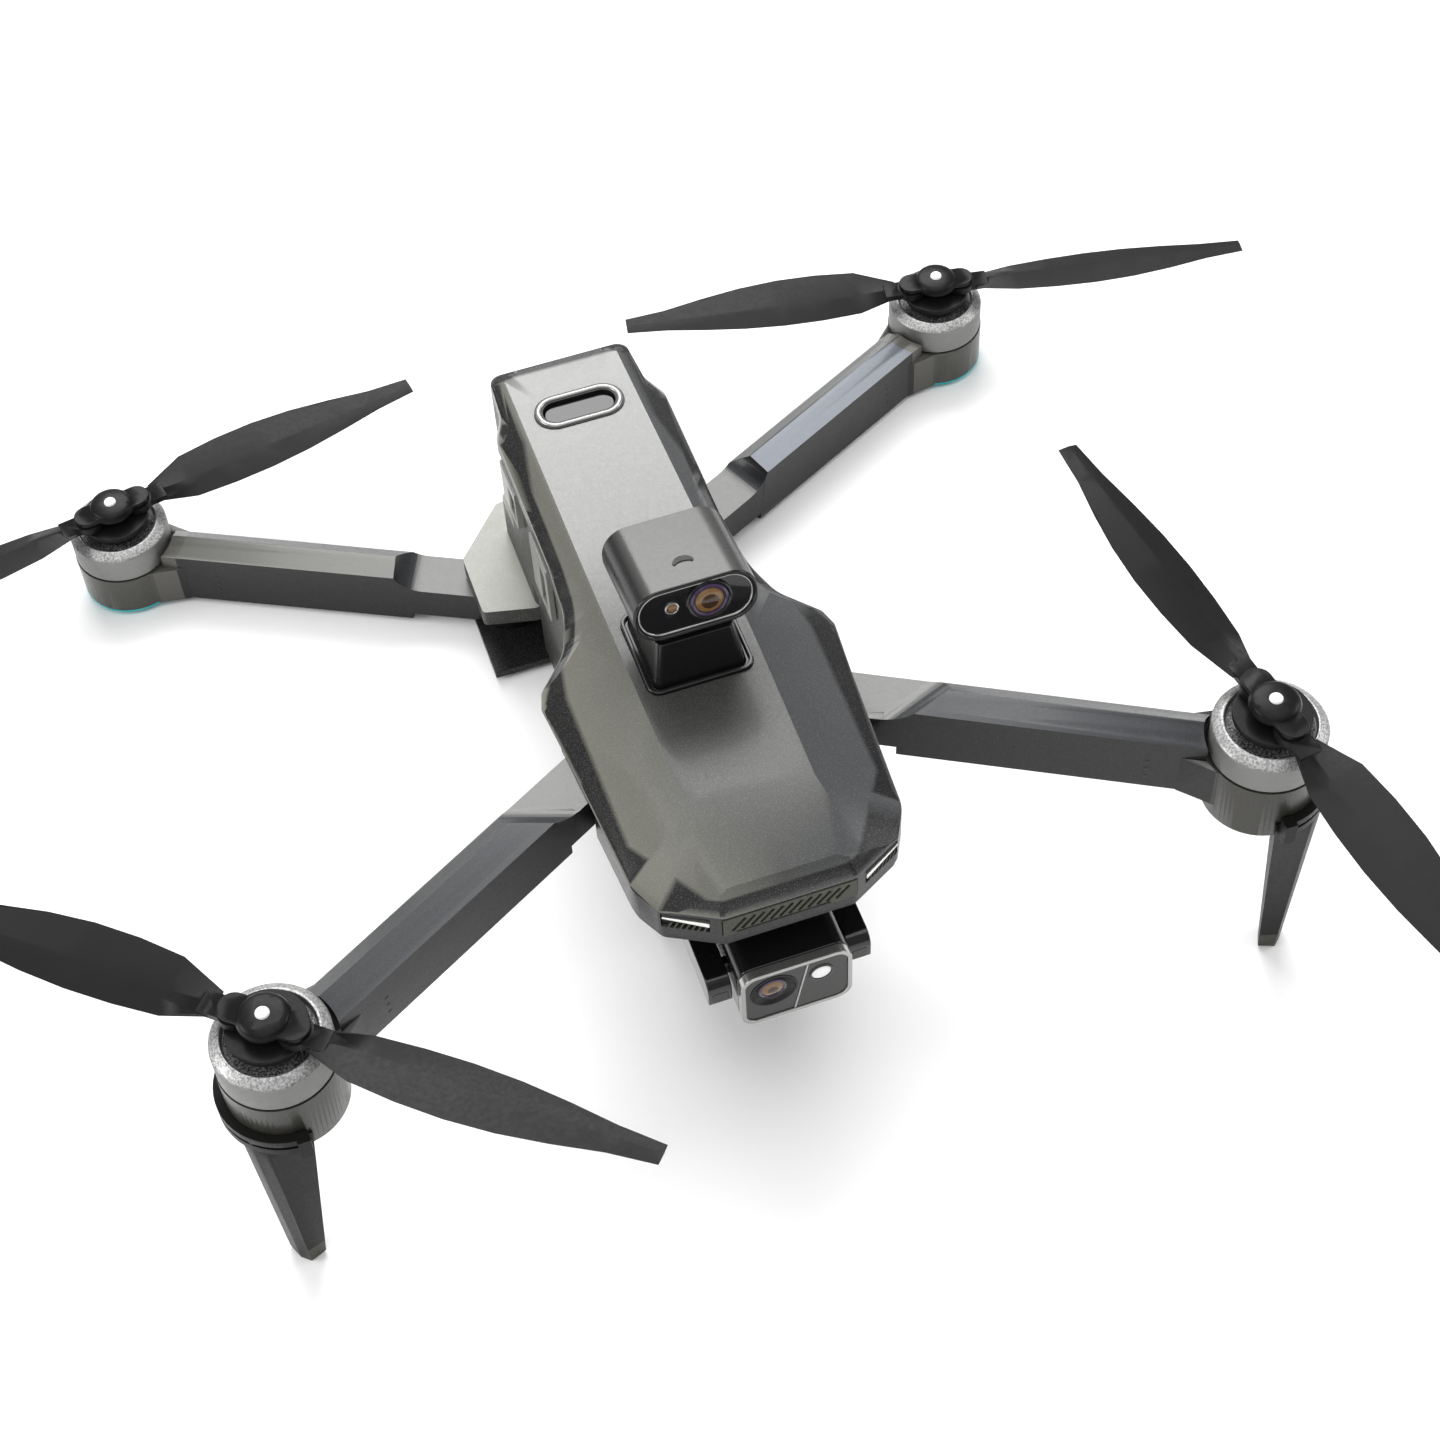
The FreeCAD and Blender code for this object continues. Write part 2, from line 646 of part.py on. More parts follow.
def make_propeller(corner, x, y, rim, turn, hand):
    lift, pin = dim("bladeLift"), dim("bladePin")
    shaft = dim("shaftRadius") + 0.03
    hub_low = -1.1
    body = turned([
        (shaft, hub_low), (dim("hubRadius"), hub_low), (dim("hubRadius") + 2.0, lift - 1.6),
        (dim("hubRadius") + 2.0, lift - 0.25), (shaft, lift - 0.25)])
    knob = turned([
        (shaft, lift - 0.3), (2.2, lift - 0.3), (2.2, lift + 2.2), (5.4, lift + 2.2), (5.4, lift + 3.0),
        (4.9, lift + 4.0), (3.8, lift + 4.5), (shaft, lift + 4.5)])
    ears = plate(rectangle(-pin - 3.2, pin + 3.2, -3.2, 3.2), lift + 2.2, 1.1, stadium_radii(6.4))
    posts = [rod("Dims.bladePinRadius", 3.6, (s * pin, 0, lift - 0.6)) for s in (-1, 1)]
    hub = fused(body, cut(ears, rod(shaft, 3.0, (0, 0, lift + 1.5))), knob, *posts)
    hub.Placement = FreeCAD.Placement(vec(x, y, rim), FreeCAD.Rotation(vec(0, 0, 1), turn))
    node(f"hub_{corner}", hub)
    for letter, extra in (("a", 0.0), ("b", 180.0)):
        blade = shape_piece(blade_shape(dim("bladeReach"), pin, lift, hand), "Blade")
        placed(blade, x, y, rim, turn + extra)
        node(f"blade_{letter}_{corner}", blade)


# ---------------------------------------------------------------- legs and rear lamps
def make_leg(side_name, side):
    """Landing leg: a clip round the outer side of the motor housing and a tapered blade to the ground."""
    x, y, rim = motor_place(True, side)
    low = rim - dim("frontHousingDepth")
    radius = dim("housingRadius") + 0.02
    outer = radius + 1.9
    strap = low + CLIP_UP
    ring = Part.makeCylinder(outer, CLIP_TALL, vec(x, y, strap))
    groove = Part.makeCylinder(outer + 1, 0.9, vec(x, y, strap + 0.5 * CLIP_TALL - 0.45))
    groove = groove.cut(Part.makeCylinder(outer - 0.6, CLIP_TALL, vec(x, y, strap)))
    ring = ring.cut(groove).cut(Part.makeCylinder(radius, 9.0, vec(x, y, low)))
    # the strap runs from the front of the housing round its outer side to the back
    wedge_points = [vec(x, y, low - 1)]
    for k in range(13):
        angle = math.radians(CLIP_FROM + (CLIP_TO - CLIP_FROM) * k / 12)
        wedge_points.append(vec(x + side * 30 * math.cos(angle), y + 30 * math.sin(angle), low - 1))
    wedge = Part.Face(Part.makePolygon(wedge_points + wedge_points[:1])).extrude(vec(0, 0, 11))
    clip = ring.common(wedge)
    front = math.radians(CLIP_FROM + 5.0)
    buckle = Part.makeBox(2.7, 2.6, CLIP_TALL + 1.4, vec(radius + 0.4, -1.3, strap - 0.7))
    buckle.Placement = FreeCAD.Placement(
        vec(x, y, 0), FreeCAD.Rotation(vec(0, 0, 1), math.degrees(front) if side > 0 else 180 - math.degrees(front)))
    # the blade of the leg: a flat front face, a rounded outer side, narrowing towards the foot
    sections = []
    for z, plan in ((low + 4.5, LEG_TOP), (0.0, LEG_TIP)):
        ring_points = [vec(x + side * px, y + py, z) for px, py in plan]
        sections.append(Part.makePolygon(ring_points + ring_points[:1]))
    blade = Part.makeLoft(sections, True, True)
    blade = blade.cut(Part.makeCylinder(radius, 20.0, vec(x, y, low)))
    leg = clip.fuse([buckle, blade]).removeSplitter()
    return node(f"leg_front_{side_name}", shape_piece(leg, "Leg"))


CLIP_UP, CLIP_TALL = 1.2, 4.6      # strap above the foot of the housing, and its height
CLIP_FROM, CLIP_TO = -96.0, 78.0   # degrees round the housing from +X, on the right-hand side
LEG_TOP = [(-2.4, -12.6), (7.2, -11.9), (9.8, -10.2), (11.4, -7.0), (7.6, -4.4), (-1.4, -9.0)]
LEG_TIP = [(3.0, -8.9), (6.4, -10.3), (8.4, -8.6), (9.9, -5.1), (8.2, -4.2), (4.2, -6.4)]


def make_rear_lamp(side_name, side):
    """Translucent lens disc that closes the underside of a rear housing and stands on the ground."""
    x, y, _ = motor_place(False, side)
    lens = turned([(0, 0), (dim("housingRadius") - 0.9, 0), (dim("housingRadius"), 0.8),
                   (dim("housingRadius"), LAMP_HIGH), (0, LAMP_HIGH)], (x, y, 0))
    return node(f"lamp_rear_{side_name}", lens)


# ---------------------------------------------------------------- battery
def make_battery():
    half, length = dim("packHalf"), dim("packLength")
    low = dim("bayFloor") + 2.3
    high = dim("seamHeight") - 0.6
    front = 62.4 - length
    case = box("2 * Dims.packHalf", "Dims.packLength", high - low, 0, front + length / 2, low)
    end_cap = plate(
        rectangle(-16.3, 16.3, 62.45, 64.6), dim("bayFloor") + 0.4, high - dim("bayFloor") - 0.4, 0)
    hollow = box(2 * half - 2.4, length - 3.0, high - low - 2.4, 0, front + length / 2, low + 1.2)
    pull = [box(9.0, 1.2, 1.2, 0, 64.8, low + 8.0 + 3.0 * k) for k in range(3)]
    node("battery_case", group(cut(case, hollow), cut(end_cap, *pull)))
    cell_wide = half - 3.2
    cells = [box(2 * cell_wide, length - 8.0, 12.4, 0, front + length / 2, low + 1.6 + 13.2 * k)
             for k in range(2)]
    node("battery_cells", group(*cells))


def make_latch(side_name, side):
    """Release button in the side of the hull, kept in its window by a flange inside the wall."""
    outer = dim("tubHalf") + 1.5
    button = box(4.2, LATCH_LENGTH, LATCH_TALL, side * (outer - 2.1), LATCH_Y, LATCH_LOW)
    recess = box(2.0, LATCH_LENGTH - 7.0, LATCH_TALL - 4.0, side * outer, LATCH_Y - 2.5, LATCH_LOW + 1.2)
    flange = box(1.4, LATCH_LENGTH - 2.0, 3.0, side * (outer - 4.8), LATCH_Y, LATCH_LOW + 2.0)
    return node(f"latch_{side_name}", cut(fused(button, flange), recess))


def make_side_trims():
    """A framed vent on each side of the hull, ahead of the latch."""
    trims = []
    for side in SIDES.values():
        bar = box(1.5, 13.0, 17.0, side * (dim("tubHalf") + 0.77), 12.6, 45.4)
        slot = box(2.0, 5.0, 12.0, side * (dim("tubHalf") + 1.5), 10.4, 47.0)
        trims.append(cut(bar, slot))
    return node("side_trims", group(*trims))


# ---------------------------------------------------------------- power button
def stadium(length, width, low, thickness):
    return plate(
        rectangle(-length / 2, length / 2, BUTTON_Y - width / 2, BUTTON_Y + width / 2),
        low, thickness, stadium_radii(width))


def make_power_button():
    length, width = dim("buttonLength"), dim("buttonWidth")
    high = 69.8
    ring = cut(
        stadium(length - 0.1, width - 0.1, high - 4.6, 4.6),
        stadium(length - 4.0, width - 4.0, high - 6.0, 8.0))
    node("button_ring", ring)
    node("power_button", stadium(length - 4.6, width - 4.6, high - 4.2, 3.2))


# ---------------------------------------------------------------- turret
def rounded_ring(half, y0, y1, z, radius):
    edges = rounded_edges(rectangle(-half, half, y0, y1), [radius] * 4)
    wire = Part.Wire([e.toShape() for e in edges])
    wire.translate(vec(0, 0, z))
    return wire


def make_turret_base():
    """Fixed neck of the sensor turret, tapered, standing in a rimmed recess of the deck."""
    high = dim("neckTop")
    rim_half, rim_front, rim_back = NECK_LOW[0] - 0.1, NECK_LOW[1] + 0.1, NECK_LOW[2] - 0.1
    foot = Part.Face(rounded_ring(rim_half, rim_front, rim_back, 70.6, 2.8)).extrude(vec(0, 0, 4.2))
    dish = Part.Face(rounded_ring(rim_half - 0.9, rim_front + 0.9, rim_back - 0.9, 74.0, 2.2)).extrude(vec(0, 0, 3))
    neck = Part.makeLoft([
        rounded_ring(NECK_LOW[0] - 1.5, NECK_LOW[1] + 1.5, NECK_LOW[2] - 1.5, 73.9, 1.6),
        rounded_ring(NECK_HIGH[0], NECK_HIGH[1], NECK_HIGH[2], high, 1.6)], True, True)
    form = shape_piece(foot.cut(dish).fuse(neck).removeSplitter(), "Neck")
    socket = rod(4.05, 6.0, (0, dim("turretY"), high - 4.0))
    return node("turret_base", cut(form, socket))


def head_prism(width, tall, depth, front, radius):
    """A rounded prism along the head's own axis, whose front face is front ahead of the head's centre."""
    edges = rounded_edges(
        [(-width / 2, -tall / 2), (width / 2, -tall / 2), (width / 2, tall / 2), (-width / 2, tall / 2)],
        [radius] * 4)
    face = Part.Face(Part.Wire([e.toShape() for e in edges]))
    solid = face.extrude(vec(0, 0, depth))
    solid.rotate(vec(0, 0, 0), vec(1, 0, 0), 90)
    solid.translate(vec(0, -front + depth, 0))
    solid.rotate(vec(0, 0, 0), vec(1, 0, 0), -dim("turretTilt"))
    solid.translate(vec(0, dim("turretY"), dim("turretHigh")))
    return solid


def make_turret_head():
    width, tall, depth = dim("turretWidth"), dim("turretTall"), dim("turretDepth")
    front = depth / 2
    head = head_prism(width, tall, depth, front, 6.0)
    recess = head_prism(width - 2.0, tall - 2.0, 1.6, front + 0.01, 5.0)
    stalk = Part.makeCylinder(6.5, 7.0, vec(0, dim("turretY"), dim("neckTop") + 0.3))
    peg = Part.makeCylinder(4.0, 4.0, vec(0, dim("turretY"), dim("neckTop") - 3.4))
    body = head.cut(recess).fuse([stalk.cut(head_prism(width, tall, depth, front, 6.0)), peg])
    glass = head_prism(width - 2.2, tall - 2.2, 1.2, front - 0.35, 4.9)
    lens_spots = ((LENS_BIG, 2.9), (LENS_SMALL, 1.3))
    tilt = math.radians(dim("turretTilt"))
    ahead = vec(0, -math.cos(tilt), math.sin(tilt))
    lenses = []
    for across, radius in lens_spots:
        centre = vec(across, dim("turretY"), dim("turretHigh")) + ahead * (front - 0.4)
        hole = Part.makeCylinder(radius + 0.02, 4.0, centre - ahead * 3.0, ahead)
        glass = glass.cut(hole)
        lenses.append(Part.makeCylinder(radius, 1.5, centre - ahead * 1.1, ahead))
        body = body.cut(Part.makeCylinder(radius + 0.02, 3.2, centre - ahead * 1.2, ahead))
    node("turret_head", shape_piece(body.removeSplitter(), "Head"))
    node("turret_glass", shape_piece(glass, "Glass"))
    node("turret_lenses", shape_piece(Part.makeCompound(lenses), "Lenses"))


LENS_BIG = 3.2
LENS_SMALL = -5.4


# ---------------------------------------------------------------- gimbal and camera
YAW_Y = -69.0
PITCH_Y = -88.0


def make_gimbal():
    """Damped plate under the nose, yaw motor and fork, and the camera that tilts in the fork."""
    low = dim("yokeLow")
    tall = dim("yokeTall")
    half, thick = dim("yokeHalf"), dim("yokeThick")
    nose = dim("noseBottom")
    floor = shape_piece(upright_plan(nose - 1.9, nose - 0.1, 0.5), "NoseFloor")
    behind = box(90.0, 170.0, 20.0, 0, 85.0 - 63.2, nose - 10.0)
    lower = plate(rectangle(-14.0, 14.0, -82.0, -62.0), nose - 6.6, 1.6, 3.0)
    rotor_seat = rod(7.4, 1.6, (0, YAW_Y, nose - 8.0))
    node("gimbal_plate", cut(floor, behind))
    node("gimbal_carrier", fused(lower, rotor_seat))
    balls = []
    for sx in (-1, 1):
        for y in (-79.0, -65.0):
            balls.append(rod(2.0, 3.1, (sx * 11.0, y, nose - 5.0)))
    node("gimbal_dampers", group(*balls))
    motor = rod(7.4, nose - 8.3 - 47.0, (0, YAW_Y, 47.0))
    stem = box(9.0, 5.0, 14.0, 0, YAW_Y, 34.0)
    bridge = box("2 * Dims.yokeHalf", 5.0, "Dims.yokeTall", 0, YAW_Y, low)
    arms = []
    for side in SIDES.values():
        centre = side * (half - thick / 2)
        arms.append(fork_arm(centre - thick / 2, low, tall))
    fork = fused(motor, stem, bridge, *arms)
    seats = [rod(1.85, thick - 1.0, (side * (half - thick - 0.2), PITCH_Y, dim("cameraMidZ")), (side, 0, 0))
             for side in SIDES.values()]
    node("gimbal_fork", cut(fork, *seats))
    make_camera()


def fork_arm(x, low, tall):
    """One arm of the fork, rounded at its upper front corner."""
    body = doc.addObject("PartDesign::Body", "ForkArm")
    side_view = [(-94.4, low), (-68.0, low), (-68.0, low + tall), (-94.4, low + tall)]
    sketch = sketch_on(body, "YZ_Plane", rounded_edges(side_view, [1.0, 0, 0, 3.2]), x)
    pad = body.newObject("PartDesign::Pad", "Pad")
    pad.Profile = sketch
    pad.setExpression("Length", "Dims.yokeThick")
    return body


def camera_block(width, tall, y0, y1, radius):
    """A rounded block along Y, centred on the tilt axis height."""
    middle = dim("cameraMidZ")
    edges = rounded_edges(
        [(-width / 2, -tall / 2), (width / 2, -tall / 2), (width / 2, tall / 2), (-width / 2, tall / 2)],
        [radius] * 4)
    face = Part.Face(Part.Wire([e.toShape() for e in edges]))
    solid = face.extrude(vec(0, 0, y1 - y0))
    solid.rotate(vec(0, 0, 0), vec(1, 0, 0), 90)
    solid.translate(vec(0, y1, middle))
    return solid


def make_camera():
    width, tall = dim("cameraWidth"), dim("cameraTall")
    front = dim("cameraFrontY")
    back = front + dim("cameraDepth")
    middle = dim("cameraMidZ")
    case = camera_block(width, tall, front + 2.2, back, 3.4)
    half_gap = dim("yokeHalf") - dim("yokeThick") - width / 2
    for side in SIDES.values():
        pin = Part.makeCylinder(1.8, 3.4 + half_gap, vec(side * (width / 2 - 0.4), PITCH_Y, middle), vec(side, 0, 0))
        case = case.fuse(pin)
    barrel_room = Part.makeCylinder(5.6, 9.0, vec(CAMERA_LENS_X, front + 2.0, middle + 1.6), vec(0, 1, 0))
    case = case.cut(barrel_room)
    node("camera_body", shape_piece(case.removeSplitter(), "CameraBody"))
    bezel = camera_block(width, tall, front, front + 2.15, 3.6).cut(
        camera_block(width - 2.0, tall - 2.0, front - 1.0, front + 3.0, 2.8))
    node("camera_bezel", shape_piece(bezel, "Bezel"))
    window = camera_block(width - 2.1, tall - 2.1, front + 0.4, front + 1.4, 2.7)
    led_hole = Part.makeCylinder(2.3, 6.0, vec(CAMERA_LED_X, front - 1.0, middle + 3.4), vec(0, 1, 0))
    window = window.cut(led_hole)
    node("camera_window", shape_piece(window, "Window"))
    barrel = Part.makeCylinder(5.5, 8.0, vec(CAMERA_LENS_X, front + 2.3, middle + 1.6), vec(0, 1, 0))
    barrel = barrel.cut(Part.makeCone(3.0, 4.6, 3.0, vec(CAMERA_LENS_X, front + 5.2, middle + 1.6), vec(0, -1, 0)))
    node("camera_barrel", shape_piece(barrel, "Barrel"))
    glass = Part.makeCylinder(2.8, 2.0, vec(CAMERA_LENS_X, front + 3.2, middle + 1.6), vec(0, 1, 0))
    led = Part.makeCylinder(2.2, 1.6, vec(CAMERA_LED_X, front + 0.3, middle + 3.4), vec(0, 1, 0))
    node("camera_lens", shape_piece(glass, "CameraLens"))
    node("camera_led", shape_piece(led, "CameraLed"))


CAMERA_LENS_X = -4.8
CAMERA_LED_X = 5.6


# ---------------------------------------------------------------- inside
def make_electronics():
    low = dim("bellyLow")
    board = plate(rectangle(-15.6, 15.6, -50.0, 20.0), low + 8.0, 1.6, 2.0)
    chips = [box(9.0, 9.0, 1.6, x, y, low + 9.6) for x, y in ((-7.0, -40.0), (6.0, -40.0), (0.0, -2.0))]
    posts = [rod(1.6, 6.0, (sx * 12.6, y, low + 2.0)) for sx in (-1, 1) for y in (-46.0, 16.0)]
    node("main_board", fused(board, *chips, *posts))
    node("gps_module", box(18.0, 18.0, 4.4, 0, 16.0, dim("seamHeight") + 0.3))
    flow = turned([(0, -0.4), (5.2, -0.4), (5.2, 2.05), (6.6, 2.05), (6.6, 4.6), (0, 4.6)], (0, FLOW_Y, low))
    node("flow_sensor", flow)


def make_screws():
    """Four pan-head screws in the floor of the rear hinge block."""
    profile = [(0, 0), (2.2, 0), (2.2, 1.0), (1.1, 1.0), (1.1, 9.4), (0, 9.4)]
    return node("block_screws", group(*[turned(profile, (x, y, dim("podFloor") + 0.1)) for x, y in BLOCK_SCREWS]))


# ---------------------------------------------------------------- assembly
def build():
    make_top_shell()
    make_nose()
    make_mid_frame()
    make_belly()
    make_rear_block()
    make_hinge_pins()
    for side_name, side in SIDES.items():
        make_arm(f"arm_front_{side_name}", True, side)
        make_arm(f"arm_rear_{side_name}", False, side)
        make_leg(side_name, side)
        make_rear_lamp(side_name, side)
        make_latch(side_name, side)
        for end, front in (("front", True), ("rear", False)):
            make_motor(f"{end}_{side_name}", front, side)
    make_battery()
    make_side_trims()
    make_power_button()
    make_turret_base()
    make_turret_head()
    make_gimbal()
    make_electronics()
    make_screws()


def move_to_datum():
    """Move every node along Y so that the origin lies under the middle of the craft."""
    for obj in NODES.values():
        obj.Placement.Base = obj.Placement.Base + vec(0, dim("datumY"), 0)


def check_and_write():
    doc.recompute()
    for obj in doc.Objects:
        bad = [flag for flag in obj.State if flag in ("Invalid", "Error")]
        if bad:
            raise SystemExit(f"{obj.Name} ({obj.Label}) failed: {bad}")
    os.makedirs("parts", exist_ok=True)
    for name, obj in NODES.items():
        shape = obj.Shape
        if shape.isNull() or not shape.isValid() or not shape.Solids:
            raise SystemExit(f"{name} has no valid shape")
        shape.exportStep(f"parts/{name}.step")
    print(len(NODES), "nodes written")


build()
move_to_datum()
check_and_write()
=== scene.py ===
import json
import math

import bmesh
import bpy
from mathutils import Matrix, Vector
from mathutils.bvhtree import BVHTree


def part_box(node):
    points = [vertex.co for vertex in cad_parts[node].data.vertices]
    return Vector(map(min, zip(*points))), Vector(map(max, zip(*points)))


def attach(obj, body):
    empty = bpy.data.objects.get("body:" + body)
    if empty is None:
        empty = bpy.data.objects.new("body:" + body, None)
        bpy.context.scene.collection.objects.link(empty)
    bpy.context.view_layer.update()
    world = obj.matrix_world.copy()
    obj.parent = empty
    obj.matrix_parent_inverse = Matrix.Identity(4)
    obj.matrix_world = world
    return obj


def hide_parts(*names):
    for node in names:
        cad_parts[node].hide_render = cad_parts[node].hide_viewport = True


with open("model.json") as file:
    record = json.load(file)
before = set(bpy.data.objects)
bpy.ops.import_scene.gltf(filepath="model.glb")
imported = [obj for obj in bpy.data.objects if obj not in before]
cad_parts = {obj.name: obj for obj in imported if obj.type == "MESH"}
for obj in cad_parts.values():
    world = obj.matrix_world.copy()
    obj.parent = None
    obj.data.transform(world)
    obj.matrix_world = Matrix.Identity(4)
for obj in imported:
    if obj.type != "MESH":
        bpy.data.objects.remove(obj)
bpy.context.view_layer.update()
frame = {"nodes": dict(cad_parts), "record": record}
NODES = frame["nodes"]
SLOTS = {part["node"]: part["material_slot"] for part in frame["record"]["subparts"]}
BODY_OF = {n: b for b, names in frame["record"]["behaviour"]["bodies"].items() for n in names}
MM = 0.001
CORNERS = ("front_left", "front_right", "rear_left", "rear_right")
SIDES = {"left": -1, "right": 1}

# ---------------------------------------------------------------- camera, floor and lights
# The camera was solved from the photograph, for an earlier datum of the frame: for the present
# one its y would be -0.3349. Lens and sensor are in mm, the place in metres, the turn in degrees.
CAMERA_LENS, SENSOR_WIDTH = 65.95, 36.0
CAMERA_PLACE = (-0.0912, -0.3336, 0.5084)
CAMERA_TURN = (36.699, 2.086, -19.108)
CLIP_NEAR, CLIP_FAR = 0.01, 20.0

FLOOR_HALF = 6.0
FLOOR_DROP = 0.0005  # just under the feet, so that no faces coincide
FLOOR_TONE, FLOOR_ROUGH, FLOOR_SPECULAR = 0.93, 0.95, 0.1
WORLD_STRENGTH = 0.36

# Place, aim, width and height in metres, and power in watts.
LIGHTS = {
    "key_rear": ((0.15, 0.95, 1.05), (0, 0.02, 0.05), 1.0, 0.9, 19.0),
    "fill_front": ((-0.5, -1.0, 0.9), (0, 0, 0.05), 1.2, 1.2, 4.0),
    "side_left": ((-1.1, 0.1, 0.6), (0, 0, 0.05), 0.5, 0.5, 7.0),
    "side_right": ((1.1, -0.1, 0.6), (0, 0, 0.05), 0.5, 0.5, 4.0),
    "top": ((0, 0, 1.6), (0, 0, 0), 1.6, 1.6, 13.0),
}


def rgba(tone):
    """A colour for a socket, from a grey level or from red, green and blue."""
    return (*tone, 1) if isinstance(tone, tuple) else (tone, tone, tone, 1)


def make_camera():
    data = bpy.data.cameras.new("camera")
    data.lens = CAMERA_LENS
    data.sensor_width = SENSOR_WIDTH
    data.clip_start = CLIP_NEAR
    data.clip_end = CLIP_FAR
    camera = bpy.data.objects.new("camera", data)
    camera.location = CAMERA_PLACE
    camera.rotation_euler = [math.radians(a) for a in CAMERA_TURN]
    bpy.context.collection.objects.link(camera)
    bpy.context.scene.camera = camera


def make_floor():
    mesh = bpy.data.meshes.new("floor")
    corners = [(x * FLOOR_HALF, y * FLOOR_HALF, 0) for x, y in ((-1, -1), (1, -1), (1, 1), (-1, 1))]
    mesh.from_pydata(corners, [], [(0, 1, 2, 3)])
    floor = bpy.data.objects.new("floor", mesh)
    floor.location.z = -FLOOR_DROP
    bpy.context.collection.objects.link(floor)
    pale = bpy.data.materials.new("floor_pale")
    pale.use_nodes = True
    shader = pale.node_tree.nodes["Principled BSDF"]
    shader.inputs["Base Color"].default_value = rgba(FLOOR_TONE)
    shader.inputs["Roughness"].default_value = FLOOR_ROUGH
    shader.inputs["Specular IOR Level"].default_value = FLOOR_SPECULAR
    mesh.materials.append(pale)


def make_lights():
    for name, (place, aim, width, height, power) in LIGHTS.items():
        data = bpy.data.lights.new(name, "AREA")
        data.shape = "RECTANGLE"
        data.size = width
        data.size_y = height
        data.energy = power
        light = bpy.data.objects.new(name, data)
        light.location = place
        light.rotation_euler = (Vector(aim) - Vector(place)).to_track_quat("-Z", "Y").to_euler()
        bpy.context.collection.objects.link(light)
    world = bpy.data.worlds.new("studio")
    world.use_nodes = True
    background = world.node_tree.nodes["Background"]
    background.inputs["Color"].default_value = rgba(1.0)
    background.inputs["Strength"].default_value = WORLD_STRENGTH
    bpy.context.scene.world = world
    bpy.context.scene.view_settings.view_transform = "Standard"


# ---------------------------------------------------------------- materials
class Shade:
    """A node tree on a Principled shader, built up with a few short calls."""

    def __init__(self, name):
        self.material = bpy.data.materials.new(name)
        self.material.use_nodes = True
        self.tree = self.material.node_tree
        self.shader = self.tree.nodes["Principled BSDF"]
        self.place = self.new("ShaderNodeTexCoord").outputs["Object"]

    def new(self, kind, **values):
        made = self.tree.nodes.new(kind)
        for key, value in values.items():
            setattr(made, key, value)
        return made

    def link(self, out, into):
        self.tree.links.new(out, into)

    def feed(self, value, socket):
        """A number goes straight into the socket, and another socket is linked to it."""
        if isinstance(value, (int, float)):
            socket.default_value = value
        else:
            self.link(value, socket)

    def set(self, **values):
        """Uniform numbers of the Principled shader."""
        for key, value in values.items():
            self.shader.inputs[key.replace("_", " ")].default_value = value

    def noise(self, scale, detail=2.0):
        made = self.new("ShaderNodeTexNoise")
        made.inputs["Scale"].default_value = scale
        made.inputs["Detail"].default_value = detail
        self.link(self.place, made.inputs["Vector"])
        return made.outputs["Fac"]

    def ramp(self, source, stops):
        made = self.new("ShaderNodeValToRGB")
        elements = made.color_ramp.elements
        while len(elements) < len(stops):
            elements.new(0.5)
        for element, (position, tone) in zip(elements, stops):
            element.position = position
            element.color = rgba(tone)
        self.link(source, made.inputs["Fac"])
        return made.outputs["Color"]

    def span(self, source, low, high, to_low=0.0, to_high=1.0):
        """The source's run from low to high, as a run from to_low to to_high."""
        made = self.new("ShaderNodeMapRange")
        ends = {"From Min": low, "From Max": high, "To Min": to_low, "To Max": to_high}
        for key, value in ends.items():
            made.inputs[key].default_value = value
        self.link(source, made.inputs["Value"])
        return made.outputs["Result"]

    def part_of(self, vector, letter):
        split = self.new("ShaderNodeSeparateXYZ")
        self.link(vector, split.inputs[0])
        return split.outputs[letter]

    def axis(self, letter):
        """One coordinate of the point, in metres."""
        return self.part_of(self.place, letter)

    def facing(self, letter):
        """One part of the surface's own normal, in the piece's frame."""
        return self.part_of(self.new("ShaderNodeTexCoord").outputs["Normal"], letter)

    def math(self, operation, one, two):
        made = self.new("ShaderNodeMath", operation=operation)
        for socket, value in zip(made.inputs, (one, two)):
            self.feed(value, socket)
        return made.outputs[0]

    def mask(self, source, low, high):
        """1 between low and high, 0 outside."""
        above = self.math("GREATER_THAN", source, low)
        below = self.math("LESS_THAN", source, high)
        return self.math("MULTIPLY", above, below)

    def near(self, x, y, radius):
        """1 within a radius in metres of the upright line at (x, y), on both sides of the craft."""
        spot = self.new("ShaderNodeCombineXYZ")
        self.link(self.math("ABSOLUTE", self.axis("X"), 0.0), spot.inputs[0])
        self.link(self.axis("Y"), spot.inputs[1])
        gap = self.new("ShaderNodeVectorMath", operation="DISTANCE")
        self.link(spot.outputs[0], gap.inputs[0])
        gap.inputs[1].default_value = (x, y, 0.0)
        return self.math("LESS_THAN", gap.outputs["Value"], radius)

    def mix(self, factor, one, two):
        """From colour one at a factor of 0 to colour two at 1."""
        made = self.new("ShaderNodeMix", data_type="RGBA")
        self.feed(factor, made.inputs["Factor"])
        for key, value in (("A", one), ("B", two)):
            socket = [i for i in made.inputs if i.name == key and i.type == "RGBA"][0]
            if isinstance(value, (tuple, float)):
                socket.default_value = rgba(value)
            else:
                self.link(value, socket)
        return [o for o in made.outputs if o.type == "RGBA"][0]

    def bump(self, height, strength, distance):
        made = self.new("ShaderNodeBump")
        made.inputs["Strength"].default_value = strength
        made.inputs["Distance"].default_value = distance
        self.link(height, made.inputs["Height"])
        self.link(made.outputs["Normal"], self.shader.inputs["Normal"])


